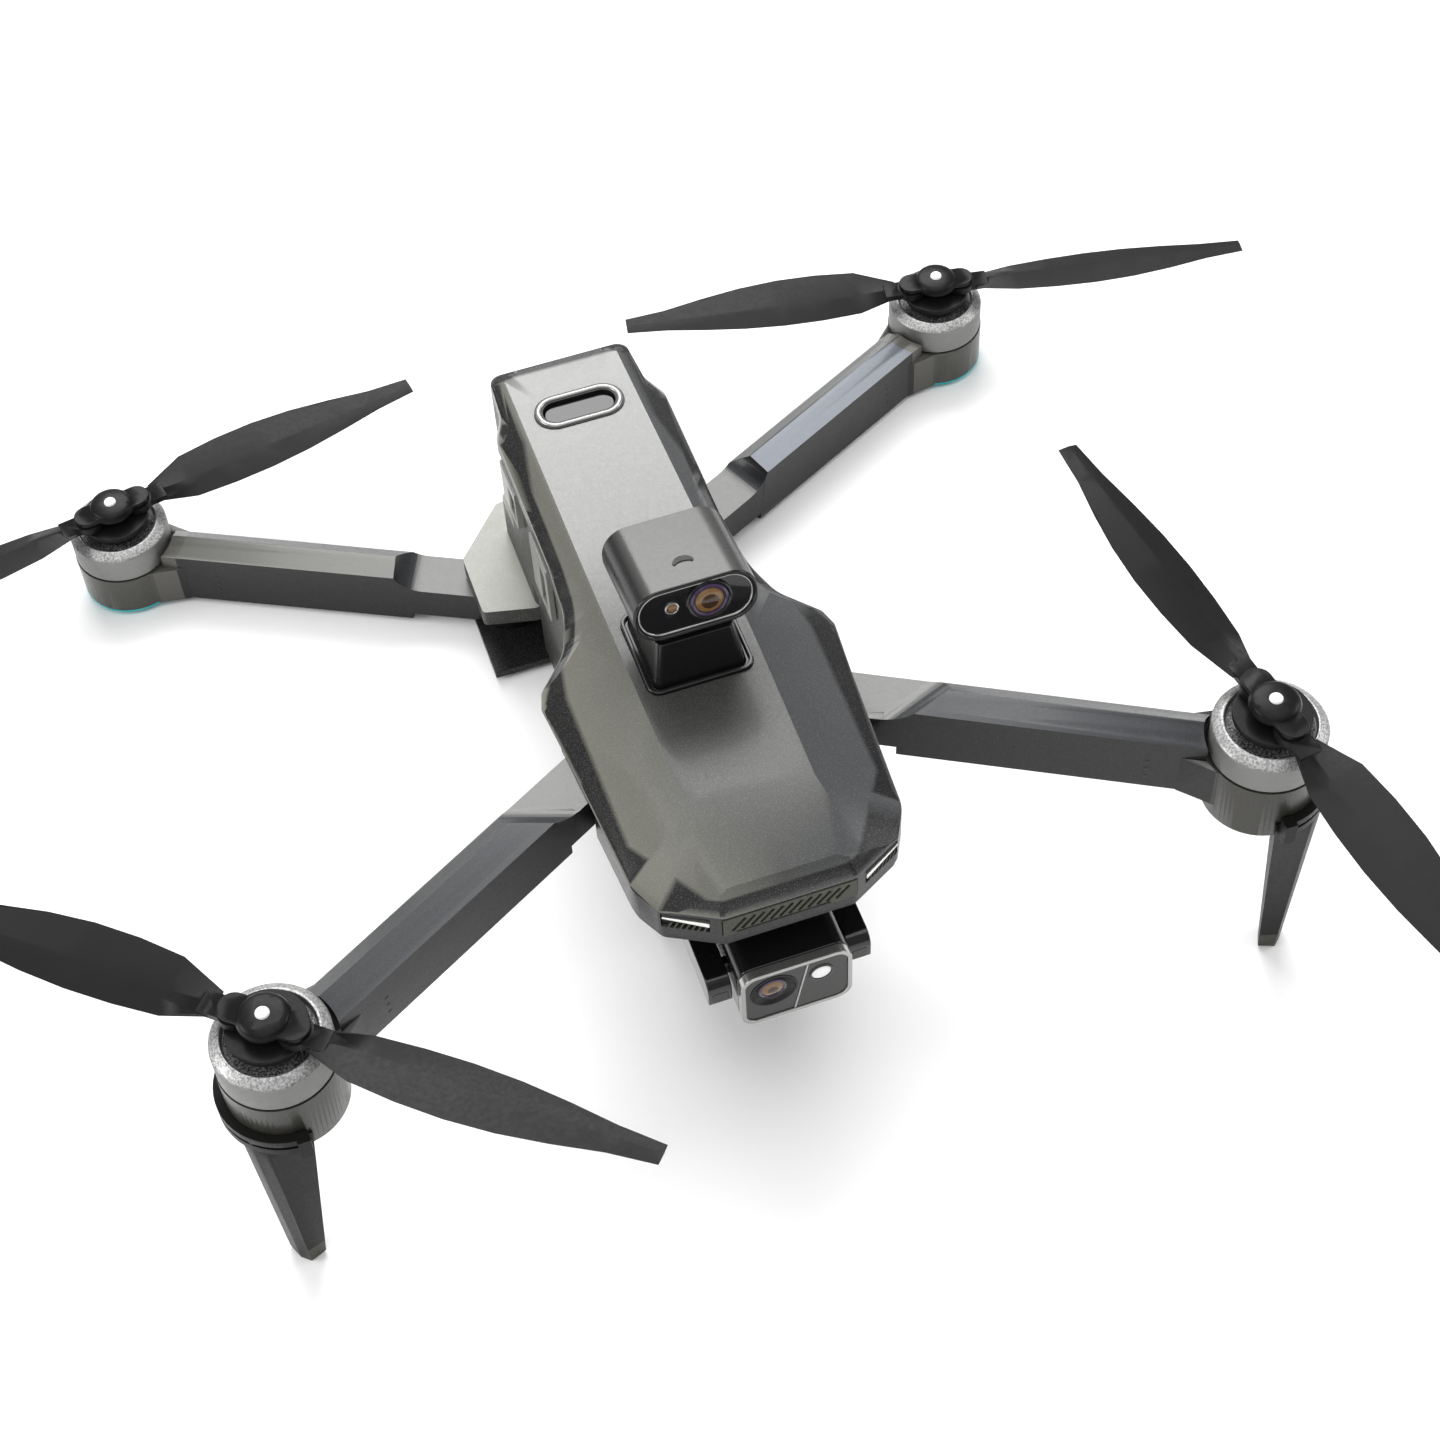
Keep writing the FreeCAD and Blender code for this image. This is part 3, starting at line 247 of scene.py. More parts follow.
CLOUD_SCALE, GRAIN_SCALE, FLAKE_SCALE = 26.0, 2600.0, 4200.0
TONE_SPREAD, ROUGH_SPREAD = 0.1, 0.12
GRAIN_HEIGHT = 0.00004
NOISE_LOW, NOISE_HIGH = 0.3, 0.7  # most of a noise texture lies between these
FLAKE_TONE = (0.75, 0.75, 0.72)


def moulded(name, colour, rough, metallic=0.0, sparkle=0.0, depth=0.25, coat=0.0, spec=0.28, tint=None):
    """Moulded or painted plastic or metal: fine grain, slight unevenness, and flakes where wanted."""
    shade = Shade(name)
    shade.set(Metallic=metallic, Coat_Weight=coat, Specular_IOR_Level=spec, Coat_Roughness=0.12)
    base = rgba(colour)[:3]
    dark = tuple(c * (1 - TONE_SPREAD) for c in base)
    light = tuple(min(1.0, c * (1 + TONE_SPREAD)) for c in base)
    tone = shade.ramp(shade.noise(CLOUD_SCALE, 3.0), [(NOISE_LOW, dark), (NOISE_HIGH, light)])
    if tint:
        tone = tint(shade, tone)
    if sparkle:
        flakes = shade.ramp(shade.noise(FLAKE_SCALE, 0.0), [(0.56, 0.0), (0.74, sparkle)])
        tone = shade.mix(flakes, tone, FLAKE_TONE)
    shade.link(tone, shade.shader.inputs["Base Color"])
    uneven = shade.span(shade.noise(GRAIN_SCALE * 0.4), NOISE_LOW, NOISE_HIGH,
                        rough * (1 - ROUGH_SPREAD), rough * (1 + ROUGH_SPREAD))
    shade.link(uneven, shade.shader.inputs["Roughness"])
    shade.bump(shade.noise(GRAIN_SCALE, 1.0), depth, GRAIN_HEIGHT)
    return shade.material


def glass_black(name, tint):
    """Dark polished glass, opaque, with a faint cloud in its tint."""
    shade = Shade(name)
    shade.set(Metallic=0.0, Coat_Weight=0.35, Specular_IOR_Level=0.3, Coat_Roughness=0.02)
    base = rgba(tint)[:3]
    light = tuple(c * 1.6 for c in base)
    tone = shade.ramp(shade.noise(20.0), [(NOISE_LOW, base), (NOISE_HIGH, light)])
    shade.link(tone, shade.shader.inputs["Base Color"])
    polish = shade.span(shade.noise(60.0), NOISE_LOW, NOISE_HIGH, 0.03, 0.06)
    shade.link(polish, shade.shader.inputs["Roughness"])
    return shade.material


def shell_tint(shade, tone):
    """Flat top painted paler towards the tail as painted light, with a painted shadow just ahead of the
    turret; facets olive on the left and bluish on the right, the left side painted lighter as painted light;
    dark rim.
    """
    # Painted light and shadow along the flat top: paler towards the tail, with a painted shadow just ahead
    # of the turret.
    along = shade.span(shade.axis("Y"), -0.065, 0.095)
    spine_painted_light_and_shadow = shade.ramp(along, [(0.0, (0.045, 0.045, 0.042)), (0.14, (0.060, 0.060, 0.057)),
                               (0.33, (0.020, 0.020, 0.019)), (0.47, (0.05, 0.05, 0.048)),
                               (0.62, (0.15, 0.15, 0.147)), (1.0, (0.215, 0.215, 0.212))])
    # Facets olive on the left and bluish on the right, with the left side painted lighter than the right:
    # painted light.
    across = shade.span(shade.axis("X"), -0.03, 0.03)
    facet_painted_side_light = shade.ramp(across, [(0.0, (0.155, 0.152, 0.126)), (0.30, (0.10, 0.10, 0.085)),
                                (0.50, (0.040, 0.040, 0.038)), (0.60, (0.040, 0.042, 0.044)),
                                (1.0, (0.055, 0.058, 0.064))])
    up = shade.facing("Z")
    paint = shade.mix(shade.span(up, 0.955, 0.99), facet_painted_side_light, spine_painted_light_and_shadow)
    above_rim = shade.math("MAXIMUM", shade.span(up, 0.90, 0.93),
                           shade.span(shade.axis("Z"), 0.0690, 0.0694))
    painted = shade.math("MULTIPLY", above_rim, shade.span(shade.axis("Y"), 0.0925, 0.0915))
    return shade.mix(painted, 0.010, shade.mix(0.2, paint, tone))


def arm_tint(shade, tone):
    """Dark sides and bluish tops, painted by which way each face looks as painted light and reflection; the
    plates at the roots and the places under the motors have tones of their own, and the rear arms' tops are
    painted paler, bluish on the right, as painted light and reflection."""
    up = shade.facing("Z")
    high = shade.axis("Z")
    # Painted light and reflection: darker on the sides, paler and bluish on the tops, by which way each face
    # looks.
    top = shade.ramp(up, [(0.0, 0.006), (0.30, 0.009), (0.62, (0.020, 0.021, 0.022)),
                          (0.80, (0.024, 0.026, 0.028)), (0.98, (0.040, 0.042, 0.046))])
    front_root = shade.mask(high, 0.0655, 0.0669)
    rear_root = shade.mask(high, 0.0113, 0.0125)
    root = shade.math("MAXIMUM", front_root, rear_root)
    root = shade.math("MULTIPLY", root, shade.span(up, 0.5, 0.97))
    paint = shade.mix(root, shade.mix(0.1, top, tone), (0.11, 0.11, 0.107))
    # Painted light on the rear arms' flat tops, with a painted bluish reflection on the right arm.
    rear_top_painted_light = shade.math("MULTIPLY", shade.mask(shade.axis("Y"), 0.03, 0.2), shade.mask(high, 0.013, 0.03))
    rear_top_painted_light = shade.math("MULTIPLY", rear_top_painted_light, shade.math("GREATER_THAN", up, 0.93))
    right_painted_reflection = shade.math("MULTIPLY", rear_top_painted_light, shade.math("GREATER_THAN", shade.axis("X"), 0.0))
    paint = shade.mix(rear_top_painted_light, paint, (0.10, 0.10, 0.092))
    paint = shade.mix(right_painted_reflection, paint, (0.115, 0.125, 0.145))
    front, rear = mid("bell_front_right"), mid("bell_rear_right")
    paint = shade.mix(shade.near(rear.x, rear.y, 0.0165), paint, (0.085, 0.083, 0.074))
    paint = shade.mix(shade.near(rear.x, rear.y, 0.0126), paint, (0.060, 0.059, 0.052))
    return shade.mix(shade.near(front.x, front.y, 0.0126), paint, (0.036, 0.035, 0.030))


def leg_tint(shade, tone):
    """Olive grey on the flat front face and black elsewhere, with a darker foot."""
    ahead = shade.span(shade.facing("Y"), -0.95, -0.80, 1.0, 0.0)
    below_clip = shade.span(shade.axis("Z"), 0.0505, 0.0495)
    front_face = shade.math("MULTIPLY", ahead, below_clip)
    paint = shade.mix(front_face, 0.010, (0.058, 0.057, 0.046))
    above_foot = shade.span(shade.axis("Z"), 0.0052, 0.0048)
    return shade.mix(above_foot, (0.007, 0.007, 0.0065), shade.mix(0.05, paint, tone))


def block_tint(shade, tone):
    """Roof of the hinge pods painted pale and walls dark by which way each face looks, as painted light;
    black below.
    """
    high = shade.span(shade.axis("Z"), 0.0128, 0.0132)
    # Painted light: faces that look up are pale, the walls dark.
    up = shade.span(shade.facing("Z"), 0.5, 0.9)
    return shade.mix(high, 0.008, shade.mix(up, (0.030, 0.031, 0.027), (0.26, 0.262, 0.24)))


def hull_tint(shade, tone):
    """Dark hull sides, a little paler towards the top."""
    high = shade.span(shade.axis("Z"), 0.03, 0.064)
    return shade.mix(high, (0.014, 0.014, 0.013), (0.030, 0.030, 0.026))


def turret_painted_light(shade, tone):
    """Painted light: satin grey on top of the turret, near-black on its rounded sides and below, by which
    way each face looks.
    """
    return shade.ramp(shade.facing("Z"), [(0.0, 0.008), (0.55, 0.012), (0.78, 0.02),
                                          (0.93, (0.07, 0.07, 0.068)), (1.0, (0.085, 0.085, 0.082))])


def bell_tint(shade, tone):
    """Bright grainy chamfer, with a slightly darker side."""
    grain = shade.ramp(shade.noise(2300.0, 2.0), [(0.35, 0.20), (0.65, (0.48, 0.48, 0.475))])
    return shade.mix(shade.span(shade.facing("Z"), 0.2, 0.8), tone, grain)


def disc_tint(shade, tone):
    """Speckled dark disc inside the bell."""
    return shade.ramp(shade.noise(2600.0, 2.0), [(0.40, 0.012), (0.66, 0.16)])


def mid(node):
    """The middle of a CAD node's box."""
    low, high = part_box(node)
    return (Vector(low) + Vector(high)) / 2


MOULDED = {
    "shell_grey": dict(colour=(0.12, 0.12, 0.115), rough=0.36, metallic=0.25, sparkle=0.05, depth=0.2,
                       coat=0.12, tint=shell_tint),
    "arm_grey": dict(colour=0.03, rough=0.34, metallic=0.2, sparkle=0.02, depth=0.15, coat=0.12,
                     tint=arm_tint),
    "bell_silver": dict(colour=(0.20, 0.20, 0.195), rough=0.46, metallic=0.7, tint=bell_tint),
    "bell_disc": dict(colour=0.05, rough=0.45, metallic=0.3, depth=0.5, tint=disc_tint),
    "stator_dark": dict(colour=0.02, rough=0.5, metallic=0.6),
    "hub_black": dict(colour=0.006, rough=0.34, depth=0.1, spec=0.14),
    "blade_black": dict(colour=0.007, rough=0.42, depth=0.1, spec=0.16),
    "frame_dark": dict(colour=(0.04, 0.04, 0.036), rough=0.42, metallic=0.15, sparkle=0.08, tint=hull_tint),
    "block_grey": dict(colour=(0.04, 0.04, 0.036), rough=0.40, metallic=0.15, sparkle=0.08, tint=block_tint),
    "dark_plain": dict(colour=0.010, rough=0.4),
    "leg_black": dict(colour=(0.02, 0.02, 0.018), rough=0.38, depth=0.02, spec=0.10, tint=leg_tint),
    "lamp_teal": dict(colour=(0.02, 0.42, 0.45), rough=0.25, coat=0.5),
    "steel": dict(colour=0.5, rough=0.3, metallic=1.0),
    "grille_grey": dict(colour=(0.050, 0.050, 0.038), rough=0.5, metallic=0.1, sparkle=0.02),
    "lamp_silver": dict(colour=(0.80, 0.80, 0.78), rough=0.15, metallic=0.9),
    "trim_silver": dict(colour=(0.24, 0.24, 0.225), rough=0.35, metallic=0.4),
    "ring_grey": dict(colour=(0.30, 0.30, 0.295), rough=0.25, metallic=0.5, coat=0.3),
    "turret_black": dict(colour=0.006, rough=0.22, coat=0.4),
    "turret_grey": dict(colour=(0.05, 0.05, 0.048), rough=0.25, metallic=0.2, depth=0.01, coat=0.1,
                        tint=turret_painted_light),
    "panel_grey": dict(colour=(0.040, 0.042, 0.039), rough=0.2, depth=0.02, coat=0.15, spec=0.2),
    "gimbal_black": dict(colour=0.006, rough=0.14, coat=0.5),
    "bezel_silver": dict(colour=(0.42, 0.42, 0.41), rough=0.22, metallic=0.9),
    "led_white": dict(colour=0.95, rough=0.3),
    "damper_rubber": dict(colour=0.02, rough=0.7),
    "battery_dark": dict(colour=0.03, rough=0.45, metallic=0.2),
    "cell_foil": dict(colour=0.5, rough=0.3, metallic=0.9),
    "board_green": dict(colour=(0.02, 0.10, 0.05), rough=0.4),
}
GLASS = {
    "button_black": 0.012,
    "black_glass": (0.004, 0.004, 0.005),
    "lens_glass": (0.012, 0.008, 0.014),
    "lens_amber": (0.14, 0.075, 0.028),
    "lens_violet": (0.035, 0.022, 0.05),
    "lens_core": (0.03, 0.014, 0.006),
}
MATERIALS = {name: moulded(name, **look) for name, look in MOULDED.items()}
MATERIALS.update({name: glass_black(name, tint) for name, tint in GLASS.items()})
# Nodes that look unlike the other nodes of their slot.
NODE_MATERIAL = {"rear_block": "block_grey", "headlights": "dark_plain", "gimbal_plate": "dark_plain",
                 "gimbal_carrier": "dark_plain", "button_ring": "dark_plain"}


def dress_frame():
    """Every CAD node takes the material of its slot in the record, or a special one."""
    for name, slot in SLOTS.items():
        mesh = NODES[name].data
        mesh.materials.clear()
        mesh.materials.append(MATERIALS[NODE_MATERIAL.get(name, slot)])


# ---------------------------------------------------------------- pieces
EDGE_ANGLE = math.radians(28)  # an edge that turns by more than this is rounded
WELD = 0.000004


def add_piece(name, mesh, material, body, smooth=40.0, bevel=0.0, segments=2):
    """A piece of the visual model that rides on a CAD body."""
    mesh.materials.append(MATERIALS[material])
    piece = bpy.data.objects.new(name, mesh)
    bpy.context.collection.objects.link(piece)
    for polygon in mesh.polygons:
        polygon.use_smooth = True
    mesh.set_sharp_from_angle(angle=math.radians(smooth))
    if bevel:
        made = piece.modifiers.new("edges", "BEVEL")
        made.width = bevel * MM
        made.segments = segments
        made.limit_method = "ANGLE"
        made.angle_limit = EDGE_ANGLE
        made.harden_normals = True
    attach(piece, body)
    return piece


def softened(node, width, smooth=30.0, segments=2, flat=0.8):
    """The node's own shape with its outer edges rounded, in place of the sharp CAD one. Faces that
    turn by less than flat degrees are merged first."""
    work = bmesh.new()
    work.from_mesh(NODES[node].data)
    bmesh.ops.remove_doubles(work, verts=work.verts, dist=WELD)
    bmesh.ops.dissolve_limit(work, angle_limit=math.radians(flat), verts=work.verts, edges=work.edges,
                             delimit={"NORMAL"})
    weight = work.edges.layers.float.new("bevel_weight_edge")
    for edge in work.edges:
        if len(edge.link_faces) == 2 and edge.is_convex and edge.calc_face_angle() > EDGE_ANGLE:
            edge[weight] = 1.0
    mesh = bpy.data.meshes.new(node + "_soft")
    work.to_mesh(mesh)
    work.free()
    material = NODE_MATERIAL.get(node, SLOTS[node])
    piece = add_piece(node + "_soft", mesh, material, BODY_OF[node], smooth, width, segments)
    piece.modifiers["edges"].limit_method = "WEIGHT"
    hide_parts(node)
    return piece


def face_frame(origin, ahead, up=(0, 0, 1)):
    """A frame for things set in a face: Z looks along ahead, X is to the viewer's right."""
    z = Vector(ahead).normalized()
    x = Vector(up).cross(z).normalized()
    y = z.cross(x)
    rotation = Matrix((x, y, z)).transposed().to_4x4()
    return Matrix.Translation(Vector(origin)) @ rotation


def moved(where, x, y, z=0.0):
    """The frame where, moved by millimetres along its own axes."""
    return where @ Matrix.Translation((x * MM, y * MM, z * MM))


def made_mesh(work, name, where):
    """The bmesh as a mesh, put in the frame where, with its normals outward."""
    bmesh.ops.transform(work, matrix=where, verts=work.verts)
    bmesh.ops.recalc_face_normals(work, faces=work.faces)
    mesh = bpy.data.meshes.new(name)
    work.to_mesh(mesh)
    work.free()
    return mesh


def lathe(name, profile, where, material, body, steps=72, smooth=40.0):
    """Turned about the Z of where. The profile is (radius, height) in mm; a radius of 0 closes it."""
    work = bmesh.new()
    rings = []
    for radius, height in profile:
        if radius < 0.001:
            rings.append([work.verts.new((0, 0, height * MM))])
            continue
        rings.append([work.verts.new((radius * MM * math.cos(2 * math.pi * k / steps),
                                      radius * MM * math.sin(2 * math.pi * k / steps), height * MM))
                      for k in range(steps)])
    for one, two in zip(rings, rings[1:]):
        for k in range(steps):
            j = (k + 1) % steps
            quad = [one[k % len(one)], one[j % len(one)], two[j % len(two)], two[k % len(two)]]
            corners = list(dict.fromkeys(quad))
            if len(corners) > 2:
                work.faces.new(corners)
    return add_piece(name, made_mesh(work, name, where), material, body, smooth)


def rounded_rectangle(width, height, radius, steps=10):
    """Points of a rounded rectangle in mm, anticlockwise."""
    points = []
    for cx, cy, start in ((1, 1, 0), (-1, 1, 90), (-1, -1, 180), (1, -1, 270)):
        for k in range(steps + 1):
            angle = math.radians(start + 90 * k / steps)
            points.append((cx * (width / 2 - radius) + radius * math.cos(angle),
                           cy * (height / 2 - radius) + radius * math.sin(angle)))
    return points


def loop_tube(name, points, tube, where, material, body, sides=12, flat=1.0):
    """A bead of radius tube that follows a closed outline in the XY of where."""
    work = bmesh.new()
    rings = []
    count = len(points)
    for k, (x, y) in enumerate(points):
        before, after = points[k - 1], points[(k + 1) % count]
        along = Vector((after[0] - before[0], after[1] - before[1], 0)).normalized()
        out = Vector((along.y, -along.x, 0))
        ring = []
        for s in range(sides):
            angle = 2 * math.pi * s / sides
            offset = out * (tube * math.cos(angle)) + Vector((0, 0, tube * flat * math.sin(angle)))
            ring.append(work.verts.new((Vector((x, y, 0)) + offset) * MM))
        rings.append(ring)
    for k in range(count):
        one, two = rings[k], rings[(k + 1) % count]
        for s in range(sides):
            t = (s + 1) % sides
            work.faces.new((one[s], two[s], two[t], one[t]))
    return add_piece(name, made_mesh(work, name, where), material, body, 60.0)


def slab(name, outline, low, high, where, material, body, bevel=0.0):
    """A closed outline in mm, raised from low to high along the Z of where."""
    work = bmesh.new()
    under = [work.verts.new((x * MM, y * MM, low * MM)) for x, y in outline]
    over = [work.verts.new((x * MM, y * MM, high * MM)) for x, y in outline]
    work.faces.new(under)
    work.faces.new(over)
    for k in range(len(outline)):
        j = (k + 1) % len(outline)
        work.faces.new((under[k], under[j], over[j], over[k]))
    return add_piece(name, made_mesh(work, name, where), material, body, bevel=bevel)


# ---------------------------------------------------------------- motors
BELL_RADIUS, BELL_BORE = 12.0, 1.3
BELL_TOP = 8.4  # from the bell's rim plane up to the end of its shaft
SHAFT_RADIUS, SHAFT_FROM, SHAFT_SHOULDER = 1.45, 4.0, 8.0


def dress_motors():
    """Each motor's bell with its disc and shaft end, and the softened hub and blades."""
    for corner in CORNERS:
        low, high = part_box(f"bell_{corner}")
        middle = mid(f"bell_{corner}")
        rim = Vector((middle.x, middle.y, high[2] - BELL_TOP * MM))
        depth = (rim.z - low[2]) / MM
        where = Matrix.Translation(rim)
        rotor = f"rotor_{corner}"
        inside = [(BELL_BORE, -depth), (BELL_BORE, -2.2), (10.0, -2.2), (10.2, -2.6), (10.2, -7.9)]
        skirt = [(10.4, -8.0), (11.8, -8.0), (BELL_RADIUS, -7.8), (BELL_RADIUS, -1.25)]
        chamfer = [(11.85, -0.95), (11.55, -0.7), (10.1, 0.42), (9.85, 0.5), (9.6, 0.42)]
        roof = [(9.3, -0.2), (9.2, -0.75), (8.9, -0.95), (BELL_BORE, -1.0)]
        bell = lathe(f"bell_{corner}_body", inside + skirt + chamfer + roof, where, "bell_silver", rotor,
                     96)
        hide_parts(f"bell_{corner}")
        disc = [(1.4, -0.96), (5.0, -0.9), (5.4, -0.6), (6.6, -0.6), (7.0, -0.86), (9.22, -0.86),
                (9.3, -0.5)]
        lathe(f"bell_{corner}_disc", disc, where, "bell_disc", rotor)
        shaft = [(SHAFT_RADIUS, SHAFT_FROM), (SHAFT_RADIUS, SHAFT_SHOULDER), (1.2, 8.35), (0, BELL_TOP)]
        lathe(f"shaft_{corner}_end", shaft, where, "led_white", rotor, 32)
        softened(f"hub_{corner}", 0.35)
        for letter in "ab":
            softened(f"blade_{letter}_{corner}", 0.12, 55.0)


# ---------------------------------------------------------------- turret
TURRET_TILT = math.radians(10)  # the glass face leans back by this
GLASS_RISE = 0.7  # from the middle of the glass to its face
CRESCENT_ENDS = (12, 168)  # degrees, from one tip of the crescent to the other
CRESCENT_STEPS = 12


def arc(radius_x, radius_y, shift, start, end):
    """Points in mm along an ellipse, from start to end in degrees, its middle moved down by shift."""
    points = []
    for k in range(CRESCENT_STEPS + 1):
        angle = math.radians(start + (end - start) * k / CRESCENT_STEPS)
        points.append((radius_x * math.cos(angle), radius_y * math.sin(angle) - shift))
    return points


def dress_turret():
    """The turret's head and neck, its glass face with two lenses, and the mark on its crown."""
    softened("turret_head", 0.5, segments=3)
    softened("turret_base", 0.35)
    ahead = Vector((0, -math.cos(TURRET_TILT), math.sin(TURRET_TILT)))
    upward = Vector((0, math.sin(TURRET_TILT), math.cos(TURRET_TILT)))
    face = face_frame(mid("turret_glass") + ahead * GLASS_RISE * MM, ahead, upward)
    loop_tube("turret_face_ring", rounded_rectangle(24.0, 10.6, 4.9), 0.24, face, "bezel_silver",
              "turret", 8)
    loop_tube("turret_face_lip", rounded_rectangle(25.6, 12.2, 5.7), 0.42, moved(face, 0, 0, 0.2),
              "turret_black", "turret", 10)
    big = moved(face, 2.9, 0.5)
    lathe("turret_lens_seat", [(5.0, -0.1), (4.9, 0.35), (4.55, 0.5), (4.2, 0.35), (4.1, 0.05)], big,
          "turret_black", "turret")
    lathe("turret_lens_outer", [(4.25, 0.0), (4.05, 0.42), (3.6, 0.62), (3.2, 0.5), (3.1, 0.15)], big,
          "lens_violet", "turret")
    lathe("turret_lens_middle", [(3.2, 0.1), (2.9, 0.5), (2.2, 0.78), (1.8, 0.8)], big,
          "lens_amber", "turret")
    lathe("turret_lens_inner", [(1.85, 0.74), (1.3, 1.0), (0.7, 1.12), (0, 1.16)], big,
          "lens_core", "turret")
    small = moved(face, -5.0, 0.9)
    lathe("turret_small_ring", [(1.55, -0.1), (1.5, 0.25), (1.25, 0.34), (1.05, 0.2)], small,
          "bezel_silver", "turret", 40)
    lathe("turret_small_lens", [(1.1, 0.1), (0.8, 0.3), (0, 0.42)], small,
          "lens_amber", "turret", 32)
    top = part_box("turret_head")[1][2]
    spot = Vector((0, mid("turret_head").y - 3.2 * MM, top - 1.05 * MM))
    start, end = CRESCENT_ENDS
    crescent = arc(2.3, 2.3, 0.6, start, end) + arc(1.9, 1.0, 0.9, end, start)
    slab("turret_crescent", crescent, -0.6, 0.12, face_frame(spot, upward, (0, 1, 0)), "dark_plain",
         "turret")


# ---------------------------------------------------------------- camera and gimbal
EYE_GROOVES, EYE_OUTER, EYE_PITCH = 6, 4.9, 0.36


def dress_camera():
    """The camera's front panel with its eye and lamp, and the caps on the gimbal's fork."""
    softened("gimbal_fork", 1.1, segments=4)
    softened("camera_body", 0.4)
    softened("camera_bezel", 0.18)
    low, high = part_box("camera_window")
    middle = mid("camera_window")
    face = face_frame((middle.x, low[1], middle.z), (0, -1, 0))
    half_w, half_h = (high[0] - low[0]) / 2 / MM, (high[2] - low[2]) / 2 / MM
    panel = [(2.5, half_h - 0.3), (-0.5, -half_h + 0.3), (half_w - 2.2, -half_h + 0.3),
             (half_w - 0.8, -half_h + 1.1), (half_w - 0.3, -half_h + 2.4), (half_w - 0.3, half_h - 2.4),
             (half_w - 0.8, half_h - 1.1), (half_w - 2.2, half_h - 0.3)]
    slab("camera_panel_right", panel, -0.05, 0.10, face, "panel_grey", "camera")
    line = [(2.7, half_h - 0.25), (2.3, half_h - 0.25), (-0.7, -half_h + 0.25), (-0.3, -half_h + 0.25)]
    slab("camera_panel_line", line, 0.0, 0.2, face, "bezel_silver", "camera")
    eye = moved(face, -5.0, 1.5)
    rings = [(5.3, -0.05), (5.2, 0.18)]
    for k in range(EYE_GROOVES):
        radius = EYE_OUTER - EYE_PITCH * k
        rings += [(radius, 0.22 - 0.02 * k), (radius - 0.10, 0.08), (radius - 0.24, 0.08),
                  (radius - 0.32, 0.2)]
    rings += [(2.3, 0.1), (0, 0.1)]
    lathe("camera_eye_rings", rings, eye, "dark_plain", "camera", 96, 20.0)
    pupil = moved(eye, -0.4, 1.5)
    lathe("camera_eye_rim", [(3.1, 0.0), (3.05, 0.45), (2.7, 0.6), (2.4, 0.4)], pupil,
          "lens_violet", "camera")
    lathe("camera_eye_glass", [(2.5, 0.3), (1.9, 0.62), (1.2, 0.8)], pupil,
          "lens_amber", "camera")
    lathe("camera_eye_core", [(1.25, 0.78), (0.7, 0.92), (0, 0.98)], pupil,
          "lens_core", "camera")
    lamp = moved(face, 5.4, 3.1)
    lathe("camera_lamp_ring", [(2.75, 0.05), (2.65, 0.35), (2.3, 0.42), (2.1, 0.2)], lamp,
          "panel_grey", "camera")
    lathe("camera_lamp", [(2.15, 0.15), (1.7, 0.42), (0.8, 0.55), (0, 0.58)], lamp,
          "led_white", "camera")
    dress_fork()


CAMERA_HEIGHT = 37.0  # height of the camera's middle
CAP_INSET, CAP_RAISE = 2.6, 0.6


def dress_fork():
    """A small cap on the front of each arm of the fork."""
    low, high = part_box("gimbal_fork")
    for name, side in SIDES.items():
        up = (low[2] + CAMERA_HEIGHT * MM) / 2 + CAP_RAISE * MM
        place = (side * (high[0] - CAP_INSET * MM), low[1], up)
        slab(f"fork_cap_{name}", rounded_rectangle(3.6, 3.2, 0.7), -0.4, 0.12,
             face_frame(place, (0, -1, 0)), "panel_grey", "gimbal", 0.1)


# ---------------------------------------------------------------- hull details
HULL_EDGES = {"mid_frame": 0.35, "belly_tray": 0.8, "rear_block": 0.45, "nose_grille": 0.12,
              "side_trims": 0.25, "battery_case": 0.6, "power_button": 0.3}
SIDE_EDGES = {"latch": 0.3, "leg_front": 0.4, "lamp_rear": 0.2}
KEEP_FACETS = 0.02  # degrees: the shell's and arms' curved faces keep their own facets


def dress_hull():
    """The hull's parts, legs, latches and arms with softened edges, and the power button's rim."""
    softened("top_shell", 0.3, 24.0, flat=KEEP_FACETS)
    for node, width in HULL_EDGES.items():
        softened(node, width)
    for side in SIDES:
        for node, width in SIDE_EDGES.items():
            softened(f"{node}_{side}", width)
        for end in ("front", "rear"):
            softened(f"arm_{end}_{side}", 0.3, flat=KEEP_FACETS)
    ring = mid("button_ring")
    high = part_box("button_ring")[1][2]
    where = Matrix.Translation((ring.x, ring.y, high + 0.05 * MM))
    loop_tube("button_rim", rounded_rectangle(19.2, 8.4, 4.19, 16), 0.62, where, "ring_grey",
              "airframe", 12, 0.7)


LAMP_INNER, LAMP_OUTER = (16.6, 1.5), (25.0, 6.2)  # out from the middle, and back from the nose
STRIP_INNER, STRIP_OUTER = (0.2, 1.5), (1.3, 1.8)  # lower and upper edge at each end of the strip
HATCHES, HATCH_MARGIN = 7, 1.2


